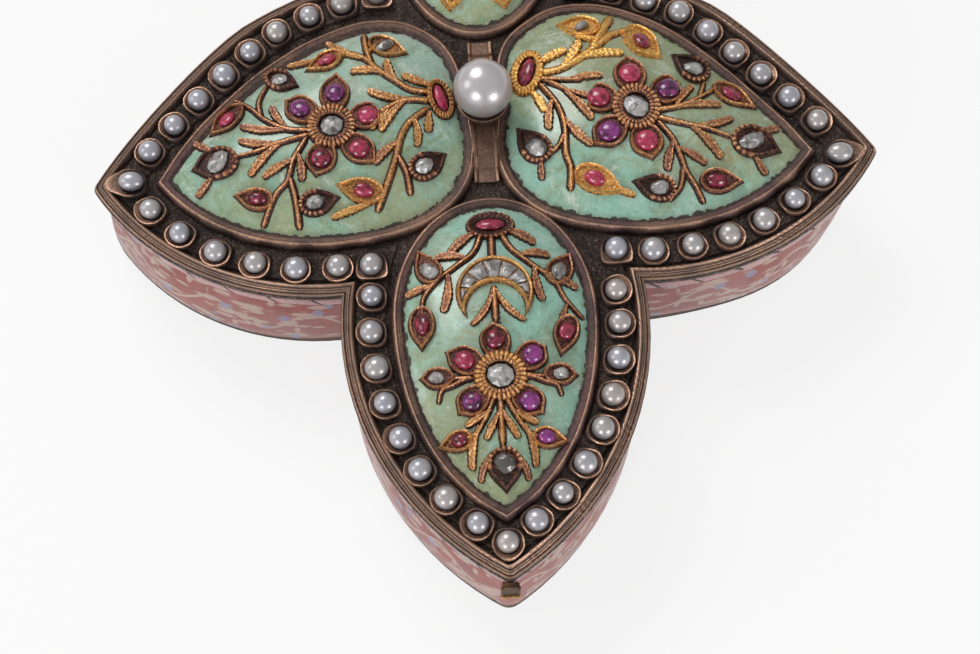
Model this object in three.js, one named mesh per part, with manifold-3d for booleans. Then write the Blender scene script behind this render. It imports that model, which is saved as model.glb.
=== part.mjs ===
// Jewelled box in the form of a pointed four-petal flower: an enamelled box body and a flat lid
// with four domed stone panels, gold flower sprays, a border of seed pearls and one large pearl.
// Millimetres, +Z up. The front petal points along -Y. The origin is on the table, under the centre.
import * as THREE from 'three';
import { mergeVertices } from 'three/addons/utils/BufferGeometryUtils.js';
import Module from 'manifold-3d';

const wasm = await Module();
wasm.setup();

// Lid outline, seen from above
const frontTipReach = 61.2;
const backTipReach = 61.2;
const sideTipReach = 50.5;
const sideTipForward = 6.6;
const frontCornerX = 19.0;
const frontCornerY = 23.4;
const backCornerX = 17.8;
const backCornerY = 22.8;
const frontFlankRise = 6.3;
const sideFrontFlankRise = 4.9;
const sideBackFlankRise = 4.9;
const backFlankRise = 6.3;
const flankSteps = 5;

// Box body
const baseThickness = 1.0;
const baseLedge = 0.3;
const wallInset = 1.2;
const wallThickness = 1.2;
const wallHeight = 11.8;
const wireHeight = 0.6;
const wireWidth = 0.8;
const wireOverhang = 0.2;
const lipThickness = 0.7;
const lipRise = 2.2;
const lipGap = 0.2;
const lipChamfer = 0.3;

// Lid plate, skirt and rim
const lidGap = 0.3;
const lidClearance = 0.4;
const skirtInset = 0.6;
const skirtHeight = 2.1;
const plateThickness = 0.8;
const rimInset = 0.1;
const rimWireWidth = 0.7;
const rimGrooveWidth = 0.35;
const rimRidgeWidth = 0.8;
const rimWireHeight = 0.8;
const rimGrooveDepth = 0.45;
const rimRidgeHeight = 0.95;

// Seed pearls and their collars
const pearlTrackInset = 3.9;
const pearlRadius = 1.35;
const pearlCollarRadius = 1.95;
const pearlCollarHeight = 1.0;
const pearlCollarLip = 0.42;
const borderStripWidth = 3.4;
const borderStripHeight = 0.35;
const borderEndGap = 0.3;
const pearlSides = 7;
const frontFlankPearls = 8;
const sideFrontFlankPearls = 6;
const sideBackFlankPearls = 8;
const backFlankPearls = 8;

// Domed stone panels
const panelMargin = 0.75;
const backPanelMargin = 1.3;
const panelTipSetback = 7.8;
const sidePanelTipSetback = 8.8;
const frontPanelStart = 11.4;
const backPanelStart = 13.3;
const sidePanelStart = 2.3;
const sidePanelStartY = 1.9;
const sidePanelHalfWidth = 14.8;
const longPanelRound = 16.0;
const sidePanelRound = 14.6;
const longPanelDome = 3.6;
const sidePanelDome = 4.2;
const longPanelPower = 2.0;
const sidePanelPower = 2.5;
const tipFullness = [0.68, 0.18];
const flankFullness = 0.42;
const panelFlankSteps = 5;
const panelRoundSteps = 7;
const collarWidth = 1.0;
const collarHeight = 1.3;
const stoneGap = 0.3;
const stoneEdgeHeight = 0.9;
const domePower = 2.6;
const domeRings = [0.86, 0.66, 0.4];
const crownOffset = 2.0;

// Gold sprays on the stones
const sprayLift = 0.3;
const sprayThickness = 0.5;
const bezelHeight = 0.75;
const gemHeight = 0.8;
const gemSeat = 0.3;
const gemGap = 0.15;
const bezelSides = 10;
const stemWidth = 0.7;
const leafWidth = 1.1;
const leafLength = 3.4;
const budRadius = 1.25;
const flowerRingRadius = 2.75;
const flowerRingWall = 0.95;
const petalLength = 6.6;
const petalWidth = 3.3;
const ovalLong = 2.9;
const ovalShort = 1.9;
const ovalWall = 0.75;
const crescentRadius = 4.65;
const crescentBite = 4.3;
const crescentShift = 2.9;
const crescentY = -24.85;

// Strap over the middle, cup and large pearl
const strapWidth = 3.3;
const strapThickness = 0.8;
const strapRise = 1.4;
const strapFrontFoot = -8.6;
const strapBackFoot = 12.0;
const strapFootLength = 1.6;
const strapRampLength = 2.4;
const largePearlRadius = 3.8;
const largePearlY = 1.6;
const cupBaseRadius = 1.5;
const cupDepth = 1.25;
const cupWall = 0.45;
const pearlSeatGap = 0.3;
const pegRadius = 0.5;
const pegLength = 2.6;

// Hinge at the back tip
const knuckleRadius = 1.1;
const knuckleClearance = 0.3;
const hingePinRadius = 0.42;
const hingeBoreRadius = 0.52;
const outerKnuckleLength = 2.2;
const middleKnuckleLength = 3.0;
const hingePinOverhang = 0.2;
const hingeLeafReach = 4.2;
const hingeLeafThickness = 0.9;
const boxLeafHeight = 4.2;
const webHeight = 2.2;
const leafSeatGap = 0.3;
const hingeSides = 16;

// Clasp at the front tip
const claspWidth = 2.4;
const claspThickness = 0.6;
const claspDrop = 4.2;
const claspRollRadius = 0.55;
const catchRadius = 0.5;
const catchWidth = 1.8;
const claspGap = 0.3;
const claspPassing = 0.2;

// Heights that follow from the sizes above
const wallTop = baseThickness + wallHeight;
const wireTop = wallTop + wireHeight;
const skirtBottom = wireTop + lidGap;
const plateBottom = skirtBottom + skirtHeight;
const plateTop = plateBottom + plateThickness;
const lipOuterInset = wallInset + wallThickness + lipGap;
const flowerOpening = flowerRingRadius - flowerRingWall;
const ovalOpeningLong = ovalLong - ovalWall;
const ovalOpeningShort = ovalShort - ovalWall;
const setGemHeight = bezelHeight + gemHeight / 2;
const strapTop = plateTop + strapRise + strapThickness;
const largePearlZ = strapTop + cupWall + pearlSeatGap + largePearlRadius;
const hingeY = backTipReach + knuckleRadius + knuckleClearance;
const hingeZ = skirtBottom;

// Points along the arc from one corner to the next, bulging to the right of its direction of travel
function flank(from, to, rise) {
  const chord = to.clone().sub(from);
  const half = chord.length() / 2;
  const radius = (half * half + rise * rise) / (2 * rise);
  const outward = new THREE.Vector2(chord.y, -chord.x).normalize();
  const centre = from.clone().add(to).multiplyScalar(0.5).addScaledVector(outward, rise - radius);
  const start = from.clone().sub(centre).angle();
  const sweep = 2 * Math.asin(half / radius);
  const points = [];
  for (let i = 0; i < flankSteps; i++) {
    const angle = start + (sweep * i) / flankSteps;
    points.push(new THREE.Vector2(centre.x + radius * Math.cos(angle), centre.y + radius * Math.sin(angle)));
  }
  return points;
}

const corner = {
  frontTip: new THREE.Vector2(0, -frontTipReach),
  frontRight: new THREE.Vector2(frontCornerX, -frontCornerY),
  rightTip: new THREE.Vector2(sideTipReach, -sideTipForward),
  backRight: new THREE.Vector2(backCornerX, backCornerY),
  backTip: new THREE.Vector2(0, backTipReach),
  backLeft: new THREE.Vector2(-backCornerX, backCornerY),
  leftTip: new THREE.Vector2(-sideTipReach, -sideTipForward),
  frontLeft: new THREE.Vector2(-frontCornerX, -frontCornerY),
};

// The lid's edge, counter-clockwise from the front tip
const lidEdge = [
  ...flank(corner.frontTip, corner.frontRight, frontFlankRise),
  ...flank(corner.frontRight, corner.rightTip, sideFrontFlankRise),
  ...flank(corner.rightTip, corner.backRight, sideBackFlankRise),
  ...flank(corner.backRight, corner.backTip, backFlankRise),
  ...flank(corner.backTip, corner.backLeft, backFlankRise),
  ...flank(corner.backLeft, corner.leftTip, sideBackFlankRise),
  ...flank(corner.leftTip, corner.frontLeft, sideFrontFlankRise),
  ...flank(corner.frontLeft, corner.frontTip, frontFlankRise),
];

// Moves every side of a closed outline inwards and meets the sides again in mitres
function inset(loop, distance) {
  return loop.map((point, i) => {
    const before = loop[(i + loop.length - 1) % loop.length];
    const after = loop[(i + 1) % loop.length];
    const arriving = point.clone().sub(before).normalize();
    const leaving = after.clone().sub(point).normalize();
    const bisector = new THREE.Vector2(-arriving.y - leaving.y, arriving.x + leaving.x).normalize();
    const cosine = -bisector.x * arriving.y + bisector.y * arriving.x;
    return point.clone().addScaledVector(bisector, distance / cosine);
  });
}

function meshFrom(positions, triangles) {
  const geometry = new THREE.BufferGeometry();
  geometry.setAttribute('position', new THREE.Float32BufferAttribute(positions, 3));
  geometry.setIndex(triangles);
  return geometry;
}

// A band that follows an outline: the profile is a closed list of [inset, height], counter-clockwise
// when inset runs to the right and height runs up
function band(loop, profile) {
  const positions = [];
  const triangles = [];
  const count = loop.length;
  profile.forEach(([distance, z]) => {
    inset(loop, distance).forEach((p) => positions.push(p.x, p.y, z));
  });
  for (let k = 0; k < profile.length; k++) {
    const next = (k + 1) % profile.length;
    for (let i = 0; i < count; i++) {
      const j = (i + 1) % count;
      triangles.push(k * count + i, k * count + j, next * count + j);
      triangles.push(k * count + i, next * count + j, next * count + i);
    }
  }
  return meshFrom(positions, triangles.reverse());
}

function prism(loop, bottom, top) {
  const geometry = new THREE.ExtrudeGeometry(new THREE.Shape(loop), { depth: top - bottom, bevelEnabled: false });
  geometry.translate(0, 0, bottom);
  return geometry;
}

// Bodies for joining and cutting
function solid(geometry) {
  const plain = geometry.clone();
  plain.deleteAttribute('normal');
  plain.deleteAttribute('uv');
  const merged = mergeVertices(plain, 1e-4);
  return new wasm.Manifold(new wasm.Mesh({
    numProp: 3,
    vertProperties: new Float32Array(merged.attributes.position.array),
    triVerts: new Uint32Array(merged.index.array),
  }));
}

function geometryOf(body) {
  const mesh = body.getMesh();
  return meshFrom(Array.from(mesh.vertProperties), Array.from(mesh.triVerts));
}

function join(pieces) {
  return pieces.map(solid).reduce((whole, piece) => whole.add(piece));
}

// Round bar along X
function bar(radius, length, x, y, z, sides = hingeSides) {
  const geometry = new THREE.CylinderGeometry(radius, radius, length, sides);
  geometry.rotateZ(Math.PI / 2);
  geometry.translate(x, y, z);
  return geometry;
}

function block(x0, x1, y0, y1, z0, z1) {
  const geometry = new THREE.BoxGeometry(x1 - x0, y1 - y0, z1 - z0);
  geometry.translate((x0 + x1) / 2, (y0 + y1) / 2, (z0 + z1) / 2);
  return geometry;
}

// Materials
function metal(colour, roughness) {
  return new THREE.MeshStandardMaterial({ color: colour, roughness, metalness: 0.9 });
}

const darkBronze = metal('#3a2a22', 0.55);
const copperyBronze = metal('#8a5a40', 0.42);
const gold = metal('#b87a3c', 0.32);
const brass = metal('#a37b45', 0.35);
const enamel = new THREE.MeshStandardMaterial({ color: '#8d4f45', roughness: 0.3, metalness: 0.0 });
const pinkEnamel = new THREE.MeshStandardMaterial({ color: '#b98a8c', roughness: 0.35, metalness: 0.0 });
const mintStone = new THREE.MeshStandardMaterial({ color: '#86b79b', roughness: 0.35, metalness: 0.0 });
const ruby = new THREE.MeshStandardMaterial({ color: '#a8284a', roughness: 0.12, metalness: 0.0 });
const diamond = new THREE.MeshStandardMaterial({ color: '#b9b6b0', roughness: 0.1, metalness: 0.0 });
const pearl = new THREE.MeshStandardMaterial({ color: '#cfc6c2', roughness: 0.25, metalness: 0.0 });

const boxBody = new THREE.Group();
const lidBody = new THREE.Group();

function place(group, name, geometry, material) {
  const mesh = new THREE.Mesh(geometry, material.clone());
  mesh.name = name;
  group.add(mesh);
}

// Box body: foot plate, enamelled wall, wire and inner lip
function wallProfile(outer, inner, bottom, top) {
  return [[outer, bottom], [inner, bottom], [inner, top], [outer, top]];
}

function wireProfile() {
  const outer = wallInset - wireOverhang;
  const inner = outer + wireWidth;
  const shoulder = wallTop + wireHeight / 2;
  const crown = wireWidth / 4;
  return [[outer, wallTop], [inner, wallTop], [inner, shoulder], [inner - crown, wireTop], [outer + crown, wireTop],
    [outer, shoulder]];
}

function lipProfile() {
  const inner = lipOuterInset + lipThickness;
  const top = wireTop + lipRise;
  return [[lipOuterInset, baseThickness], [inner, baseThickness], [inner, top], [lipOuterInset + lipChamfer, top],
    [lipOuterInset, top - lipChamfer]];
}

place(boxBody, 'base_plate', prism(inset(lidEdge, wallInset - baseLedge), 0, baseThickness), copperyBronze);
place(boxBody, 'box_wall',
  band(lidEdge, wallProfile(wallInset, wallInset + wallThickness, baseThickness, wallTop)), enamel);
place(boxBody, 'wall_wire', band(lidEdge, wireProfile()), copperyBronze);
place(boxBody, 'inner_lip', band(lidEdge, lipProfile()), brass);

// Lid: skirt, plate and rim moulding
function rimProfile() {
  const outer = rimInset;
  const wireEnd = outer + rimWireWidth;
  const grooveEnd = wireEnd + rimGrooveWidth;
  const ridgeEnd = grooveEnd + rimRidgeWidth;
  const groove = plateTop + rimWireHeight - rimGrooveDepth;
  const wireShoulder = plateTop + rimWireHeight / 2;
  return [[outer, plateTop], [ridgeEnd, plateTop], [ridgeEnd, plateTop + rimRidgeHeight * 0.6],
    [(grooveEnd + ridgeEnd) / 2, plateTop + rimRidgeHeight], [grooveEnd, groove], [wireEnd, groove],
    [(outer + wireEnd) / 2, plateTop + rimWireHeight], [outer, wireShoulder]];
}

place(lidBody, 'lid_skirt',
  band(lidEdge, wallProfile(skirtInset, lipOuterInset - lidClearance, skirtBottom, plateBottom)), pinkEnamel);
place(lidBody, 'lid_plate', prism(lidEdge, plateBottom, plateTop), darkBronze);
place(lidBody, 'lid_rim', band(lidEdge, rimProfile()), copperyBronze);

// Pearl border: on each petal a strip with a collar and a pearl at even steps along the track
const pearlTrack = inset(lidEdge, pearlTrackInset);

function trackSection(firstFlank, flankCount) {
  const points = [];
  for (let i = 0; i <= flankCount * flankSteps; i++) {
    points.push(pearlTrack[(firstFlank * flankSteps + i) % pearlTrack.length]);
  }
  return points;
}

function evenPoints(path, intervals) {
  const lengths = [0];
  for (let i = 1; i < path.length; i++) {
    lengths.push(lengths[i - 1] + path[i].distanceTo(path[i - 1]));
  }
  const spots = [];
  for (let k = 0; k <= intervals; k++) {
    const target = (lengths[lengths.length - 1] * k) / intervals;
    let i = 1;
    while (i < path.length - 1 && lengths[i] < target) {
      i++;
    }
    const share = (target - lengths[i - 1]) / (lengths[i] - lengths[i - 1]);
    spots.push(path[i - 1].clone().lerp(path[i], share));
  }
  return spots;
}

function pearlInCollar(spot) {
  const base = plateTop + borderStripHeight / 2;
  const collarTop = plateTop + pearlCollarHeight;
  const crown = collarTop + pearlRadius;
  const profile = [
    new THREE.Vector2(0, base),
    new THREE.Vector2(pearlCollarRadius, base),
    new THREE.Vector2(pearlCollarRadius - 0.1, collarTop),
    new THREE.Vector2(pearlCollarRadius - pearlCollarLip, collarTop),
    new THREE.Vector2(pearlRadius * 0.75, collarTop + pearlRadius * 0.66),
    new THREE.Vector2(0, crown),
  ];
  const geometry = new THREE.LatheGeometry(profile, pearlSides);
  geometry.rotateX(Math.PI / 2);
  geometry.translate(spot.x, spot.y, 0);
  return geometry;
}

// Follows an open path at a distance to its left
function sideLine(path, distance) {
  return path.map((point, i) => {
    const before = path[Math.max(i - 1, 0)];
    const after = path[Math.min(i + 1, path.length - 1)];
    const arriving = i > 0 ? point.clone().sub(before).normalize() : after.clone().sub(point).normalize();
    const leaving = i < path.length - 1 ? after.clone().sub(point).normalize() : arriving;
    const bisector = new THREE.Vector2(-arriving.y - leaving.y, arriving.x + leaving.x).normalize();
    const cosine = -bisector.x * arriving.y + bisector.y * arriving.x;
    return point.clone().addScaledVector(bisector, distance / cosine);
  });
}

function shorten(path, atStart, atEnd) {
  const ends = path.map((p) => p.clone());
  const last = ends.length - 1;
  const startWay = ends[1].clone().sub(ends[0]).normalize();
  const endWay = ends[last - 1].clone().sub(ends[last]).normalize();
  ends[0].addScaledVector(startWay, atStart);
  ends[last].addScaledVector(endWay, atEnd);
  return ends;
}

function pearlBorder(path, spots, atStart, atEnd) {
  const trimmed = shorten(path, atStart, atEnd);
  const outer = sideLine(trimmed, -borderStripWidth / 2);
  const inner = sideLine(trimmed, borderStripWidth / 2);
  const strip = prism([...outer, ...inner.reverse()], plateTop, plateTop + borderStripHeight);
  return geometryOf(join([strip, ...spots.map(pearlInCollar)]));
}

function flankSpots(firstFlank, pearls) {
  return evenPoints(trackSection(firstFlank, 1), pearls + 1);
}

function tippedBorder(firstFlank, pearlsBefore, pearlsAfter, withCorners) {
  const before = flankSpots(firstFlank, pearlsBefore);
  const after = flankSpots(firstFlank + 1, pearlsAfter);
  const spots = [...before, ...after.slice(1)];
  const cornerReach = pearlCollarRadius + borderEndGap;
  if (withCorners) {
    return pearlBorder(trackSection(firstFlank, 2), spots, -cornerReach, -cornerReach);
  }
  const reach = cornerReach + borderStripWidth / 2;
  return pearlBorder(trackSection(firstFlank, 2), spots.slice(1, -1), reach, reach);
}

place(lidBody, 'pearl_border_front', tippedBorder(7, frontFlankPearls, frontFlankPearls, true), darkBronze);
place(lidBody, 'pearl_border_right', tippedBorder(1, sideFrontFlankPearls, sideBackFlankPearls, false), darkBronze);
place(lidBody, 'pearl_border_back', tippedBorder(3, backFlankPearls, backFlankPearls, true), darkBronze);
place(lidBody, 'pearl_border_left', tippedBorder(5, sideBackFlankPearls, sideFrontFlankPearls, false), darkBronze);

// The four panels: inner end, tip, half width, length of the rounded end and its power, dome height
const borderReach = pearlTrackInset + pearlCollarRadius;

const frontPanel = {
  inner: [0, -frontPanelStart],
  tip: [0, panelTipSetback - frontTipReach],
  halfWidth: frontCornerX - borderReach - panelMargin,
  widest: longPanelRound,
  roundness: longPanelPower,
  domeHeight: longPanelDome,
};

const backPanel = {
  inner: [0, backPanelStart],
  tip: [0, backTipReach - panelTipSetback],
  halfWidth: backCornerX - borderReach - backPanelMargin,
  widest: longPanelRound,
  roundness: longPanelPower,
  domeHeight: longPanelDome,
};

const sidePanel = {
  inner: [sidePanelStart, sidePanelStartY],
  tip: [sideTipReach - sidePanelTipSetback, -sideTipForward],
  halfWidth: sidePanelHalfWidth,
  widest: sidePanelRound,
  roundness: sidePanelPower,
  domeHeight: sidePanelDome,
};

function mirroredPanel(panel) {
  return { ...panel, inner: [-panel.inner[0], panel.inner[1]], tip: [-panel.tip[0], panel.tip[1]] };
}

// The sprays are drawn on sheets of these sizes and stretched with the panels that carry them
const frontSheet = { inner: [0, -11.4], tip: [0, -53.4], halfWidth: 12.4 };
const backSheet = { inner: [0, 13.3], tip: [0, 53.4], halfWidth: 10.65 };
const sideSheet = { inner: [2.3, 1.9], tip: [41.7, -6.6], halfWidth: 14.8 };

// Own directions of a panel or sheet: from its inner end to its tip, and across
function ownAxes({ inner, tip }) {
  const start = new THREE.Vector2(...inner);
  const along = new THREE.Vector2(...tip).sub(start);
  const length = along.length();
  along.normalize();
  return { start, along, across: new THREE.Vector2(-along.y, along.x), length };
}

// Takes a point of the sheet to its place on the panel
function sheetToPanel(sheet, panel) {
  const from = ownAxes(sheet);
  const to = ownAxes(panel);
  const stretch = to.length / from.length;
  const widen = panel.halfWidth / sheet.halfWidth;
  return (point) => {
    const way = point.clone().sub(from.start);
    return to.start.clone()
      .addScaledVector(to.along, way.dot(from.along) * stretch)
      .addScaledVector(to.across, way.dot(from.across) * widen);
  };
}

// Outline of a stone panel: pointed at the tip, rounded at the inner end
function panelEdge(panel) {
  const { start, along, across, length } = ownAxes(panel);
  const taper = length - panel.widest;
  const side = new THREE.CubicBezierCurve(
    new THREE.Vector2(length, 0),
    new THREE.Vector2(length - taper * tipFullness[1], panel.halfWidth * tipFullness[0]),
    new THREE.Vector2(length - taper * (1 - flankFullness), panel.halfWidth),
    new THREE.Vector2(panel.widest, panel.halfWidth),
  ).getPoints(panelFlankSteps);
  const half = [...side];
  for (let i = 1; i <= panelRoundSteps; i++) {
    const angle = (Math.PI / 2) * (i / panelRoundSteps);
    const power = 2 / panel.roundness;
    const u = panel.widest * (1 - Math.sin(angle) ** power);
    half.push(new THREE.Vector2(u, panel.halfWidth * Math.cos(angle) ** power));
  }
  half[half.length - 1].y = 0;
  const mirrored = half.slice(1, -1).reverse().map((p) => new THREE.Vector2(p.x, -p.y));
  return [...half, ...mirrored].map((p) => start.clone().addScaledVector(along, p.x).addScaledVector(across, p.y));
}

function collarProfile() {
  const middle = collarWidth / 2;
  const top = plateTop + collarHeight;
  const shoulder = plateTop + collarHeight * 0.7;
  return [[0, plateTop], [collarWidth, plateTop], [collarWidth, shoulder], [middle, top], [0, shoulder]];
}

// A stone panel: its outline, its middle, the height of its domed face and the way onto it from its sheet
function makePanel(panel, sheet) {
  const edge = panelEdge(panel);
  const stoneEdge = inset(edge, collarWidth + stoneGap);
  const { start, along } = ownAxes(panel);
  const middle = start.clone().addScaledVector(along, panel.widest + crownOffset);
  const rise = panel.domeHeight - stoneEdgeHeight;
  const height = (share) => plateTop + stoneEdgeHeight + rise * (1 - share ** domePower);
  return { edge, stoneEdge, middle, height, lay: sheetToPanel(sheet, panel) };
}

function domedStone(panel) {
  const positions = [];
  const triangles = [];
  const count = panel.stoneEdge.length;
  const levels = [[1, plateTop], [1, panel.height(1)], ...domeRings.map((share) => [share, panel.height(share)])];
  levels.forEach(([share, z]) => {
    panel.stoneEdge.forEach((p) => {
      const q = panel.middle.clone().lerp(p, share);
      positions.push(q.x, q.y, z);
    });
  });
  positions.push(panel.middle.x, panel.middle.y, panel.height(0));
  positions.push(panel.middle.x, panel.middle.y, plateTop);
  const crown = levels.length * count;
  for (let i = 0; i < count; i++) {
    const j = (i + 1) % count;
    for (let k = 0; k < levels.length - 1; k++) {
      triangles.push(k * count + i, k * count + j, (k + 1) * count + j);
      triangles.push(k * count + i, (k + 1) * count + j, (k + 1) * count + i);
    }
    const last = (levels.length - 1) * count;
    triangles.push(last + i, last + j, crown);
    triangles.push(j, i, crown + 1);
  }
  return meshFrom(positions, triangles);
}

// How far a point lies from the panel's middle, as a share of the way to the stone's edge
function edgeShare(panel, point) {
  const way = point.clone().sub(panel.middle);
  let share = 0;
  panel.stoneEdge.forEach((p, i) => {
    const q = panel.stoneEdge[(i + 1) % panel.stoneEdge.length];
    const side = q.clone().sub(p);
    const cross = side.x * way.y - side.y * way.x;
    if (Math.abs(cross) > 1e-9) {
      const reach = (side.x * (panel.middle.y - p.y) - side.y * (panel.middle.x - p.x)) / -cross;
      share = reach > 0 ? Math.max(share, 1 / reach) : share;
    }
  });
  return Math.min(share, 1);
}

const groundHeight = (panel, point) => panel.height(edgeShare(panel, point));

// Gold work is cut flat on its sheet, then laid over the dome at an even height above it
function drape(panel, geometry) {
  const position = geometry.attributes.position;
  for (let i = 0; i < position.count; i++) {
    const point = panel.lay(new THREE.Vector2(position.getX(i), position.getY(i)));
    position.setXYZ(i, point.x, point.y, position.getZ(i) + groundHeight(panel, point) + sprayLift);
  }
  return geometry;
}

function towards(from, to, along, across) {
  const way = to.clone().sub(from);
  return from.clone().addScaledVector(way, along)
    .addScaledVector(new THREE.Vector2(-way.y, way.x).normalize(), across);
}

function leafOutline(from, to, width) {
  return [from, towards(from, to, 0.45, -width / 2), to, towards(from, to, 0.45, width / 2)];
}

function petalOutline(from, to, width) {
  return [towards(from, to, 0, -width * 0.25), towards(from, to, 0.5, -width * 0.5), to,
    towards(from, to, 0.5, width * 0.5), towards(from, to, 0, width * 0.25)];
}

function stemOutline(path, width) {
  const right = sideLine(path, -width / 2);
  const left = sideLine(path, width / 2);
  return [...right, ...left.reverse()];
}

function ovalOutline(centre, long, short, turn, sides) {
  const points = [];
  for (let i = 0; i < sides; i++) {
    const angle = (2 * Math.PI * i) / sides;
    const p = new THREE.Vector2(long * Math.cos(angle), short * Math.sin(angle));
    points.push(p.rotateAround(new THREE.Vector2(), turn).add(centre));
  }
  return points;
}

const at = (x, y) => new THREE.Vector2(x, y);

// Stem as a soft bend from one point to another, bowed to its left
function bow(from, to, amount) {
  return [from, towards(from, to, 0.5, amount), to];
}

const plainStem = (path) => prism(stemOutline(path, stemWidth), 0, sprayThickness);

// A stalk with pairs of leaves along it
function leafyStem(from, to, amount, pairs) {
  const pieces = [plainStem(amount === 0 ? [from, to] : bow(from, to, amount))];
  for (let k = 1; k <= pairs; k++) {
    const root = towards(from, to, k / (pairs + 1), amount * 0.9);
    [-1, 1].forEach((hand) => {
      const tip = to.clone().sub(from).normalize().multiplyScalar(leafLength)
        .rotateAround(new THREE.Vector2(), hand * 0.6).add(root);
      pieces.push(prism(leafOutline(root, tip, leafWidth), 0, sprayThickness));
    });
  }
  return pieces;
}

// A pointed setting with a stone standing up in it
function bud(centre, pointing, size = budRadius) {
  const way = pointing.clone().sub(centre).normalize();
  const back = centre.clone().addScaledVector(way, -size * 1.5);
  const tip = centre.clone().addScaledVector(way, size * 1.9);
  return [
    prism(petalOutline(back, tip, size * 2.1), 0, sprayThickness),
    prism(ovalOutline(centre, size * 0.62, size * 0.62, 0, 5), 0, sprayThickness + gemHeight / 2),
  ];
}

// Five-petalled flower with a cabochon in each petal and an open milled ring for the middle stone
function flower(centre, firstPetal) {
  const pieces = [];
  for (let k = 0; k < 5; k++) {
    const angle = firstPetal + (k * 2 * Math.PI) / 5;
    const way = at(Math.cos(angle), Math.sin(angle));
    const root = centre.clone().addScaledVector(way, flowerRingRadius * 0.7);
    const tip = centre.clone().addScaledVector(way, petalLength);
    const seat = centre.clone().addScaledVector(way, petalLength * 0.66);
    pieces.push(prism(petalOutline(root, tip, petalWidth), 0, sprayThickness));
    pieces.push(prism(ovalOutline(seat, petalWidth * 0.32, petalWidth * 0.32, 0, 5), 0,
      sprayThickness + gemHeight / 2));
  }
  pieces.push(prism(ovalOutline(centre, flowerRingRadius, flowerRingRadius, 0, bezelSides), 0, bezelHeight));
  return pieces;
}

const ovalBezel = (centre, turn) => [
  prism(ovalOutline(centre, ovalLong, ovalShort, turn, bezelSides), 0, bezelHeight),
];

// Opens the seat of a separately set stone in its bezel
const seatCut = (centre, long, short, turn) =>
  prism(ovalOutline(centre, long, short, turn, bezelSides), -bezelHeight, 2 * bezelHeight);
const flowerCut = (seats) => seatCut(seats.flower, flowerOpening, flowerOpening, 0);
const ovalCut = (seats) => seatCut(seats.oval, ovalOpeningLong, ovalOpeningShort, seats.turn);

// Low rose-cut or cabochon stone for an open seat
function setGem(panel, seat, long, short, turn) {
  const levels = [[1, 0], [1, 0.45], [0.5, 0.95]];
  const centre = panel.lay(seat);
  const ground = groundHeight(panel, centre);
  const ring = ovalOutline(seat, long, short, turn, bezelSides).map(panel.lay);
  const count = ring.length;
  const positions = [];
  const triangles = [];
  levels.forEach(([share, rise]) => {
    ring.forEach((p) => {
      const q = centre.clone().lerp(p, share);
      const slope = (groundHeight(panel, p) - ground) * share;
      positions.push(q.x, q.y, ground + gemSeat + slope + rise * setGemHeight);
    });
  });
  positions.push(centre.x, centre.y, ground + gemSeat + setGemHeight);
  positions.push(centre.x, centre.y, ground + gemSeat);
  const crown = levels.length * count;
  for (let i = 0; i < count; i++) {
    const j = (i + 1) % count;
    for (let k = 0; k < levels.length - 1; k++) {
      triangles.push(k * count + i, k * count + j, (k + 1) * count + j);
      triangles.push(k * count + i, (k + 1) * count + j, (k + 1) * count + i);
    }
    const last = (levels.length - 1) * count;
    triangles.push(last + i, last + j, crown);
    triangles.push(j, i, crown + 1);
  }
  return meshFrom(positions, triangles);
}

function spray(panel, pieces, cuts) {
  const work = join(pieces);
  return drape(panel, geometryOf(cuts.map(solid).reduce((whole, cut) => whole.subtract(cut), work)));
}

// Where the separately set stones go on each sheet
const gemSeats = {
  front: { flower: at(0, -35.5), oval: at(0, -15.6), turn: 0 },
  back: { flower: at(0, 32) },
  right: { flower: at(19.8, 0.1), oval: at(6.2, 4.4), turn: Math.PI / 2 - 0.25 },
  left: { flower: at(-19.8, 0.1), oval: at(-6.2, 4.4), turn: Math.PI / 2 + 0.25 },
};

// Crescent with its horns down, both ends of which are points
function crescentOutline(x, y) {
  const innerY = y - crescentShift;
  const meetingY = (crescentRadius ** 2 - crescentBite ** 2 - crescentShift ** 2) / (-2 * crescentShift);
  const hornAngle = Math.asin(meetingY / crescentRadius);
  const innerAngle = Math.asin((meetingY + crescentShift) / crescentBite);
  const steps = 12;
  const points = [];
  for (let i = 0; i <= steps; i++) {
    const angle = hornAngle + ((Math.PI - 2 * hornAngle) * i) / steps;
    points.push(at(x + crescentRadius * Math.cos(angle), y + crescentRadius * Math.sin(angle)));
  }
  for (let i = 1; i < steps; i++) {
    const angle = Math.PI - innerAngle - ((Math.PI - 2 * innerAngle) * i) / steps;
    points.push(at(x + crescentBite * Math.cos(angle), innerY + crescentBite * Math.sin(angle)));
  }
  return points;
}

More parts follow.
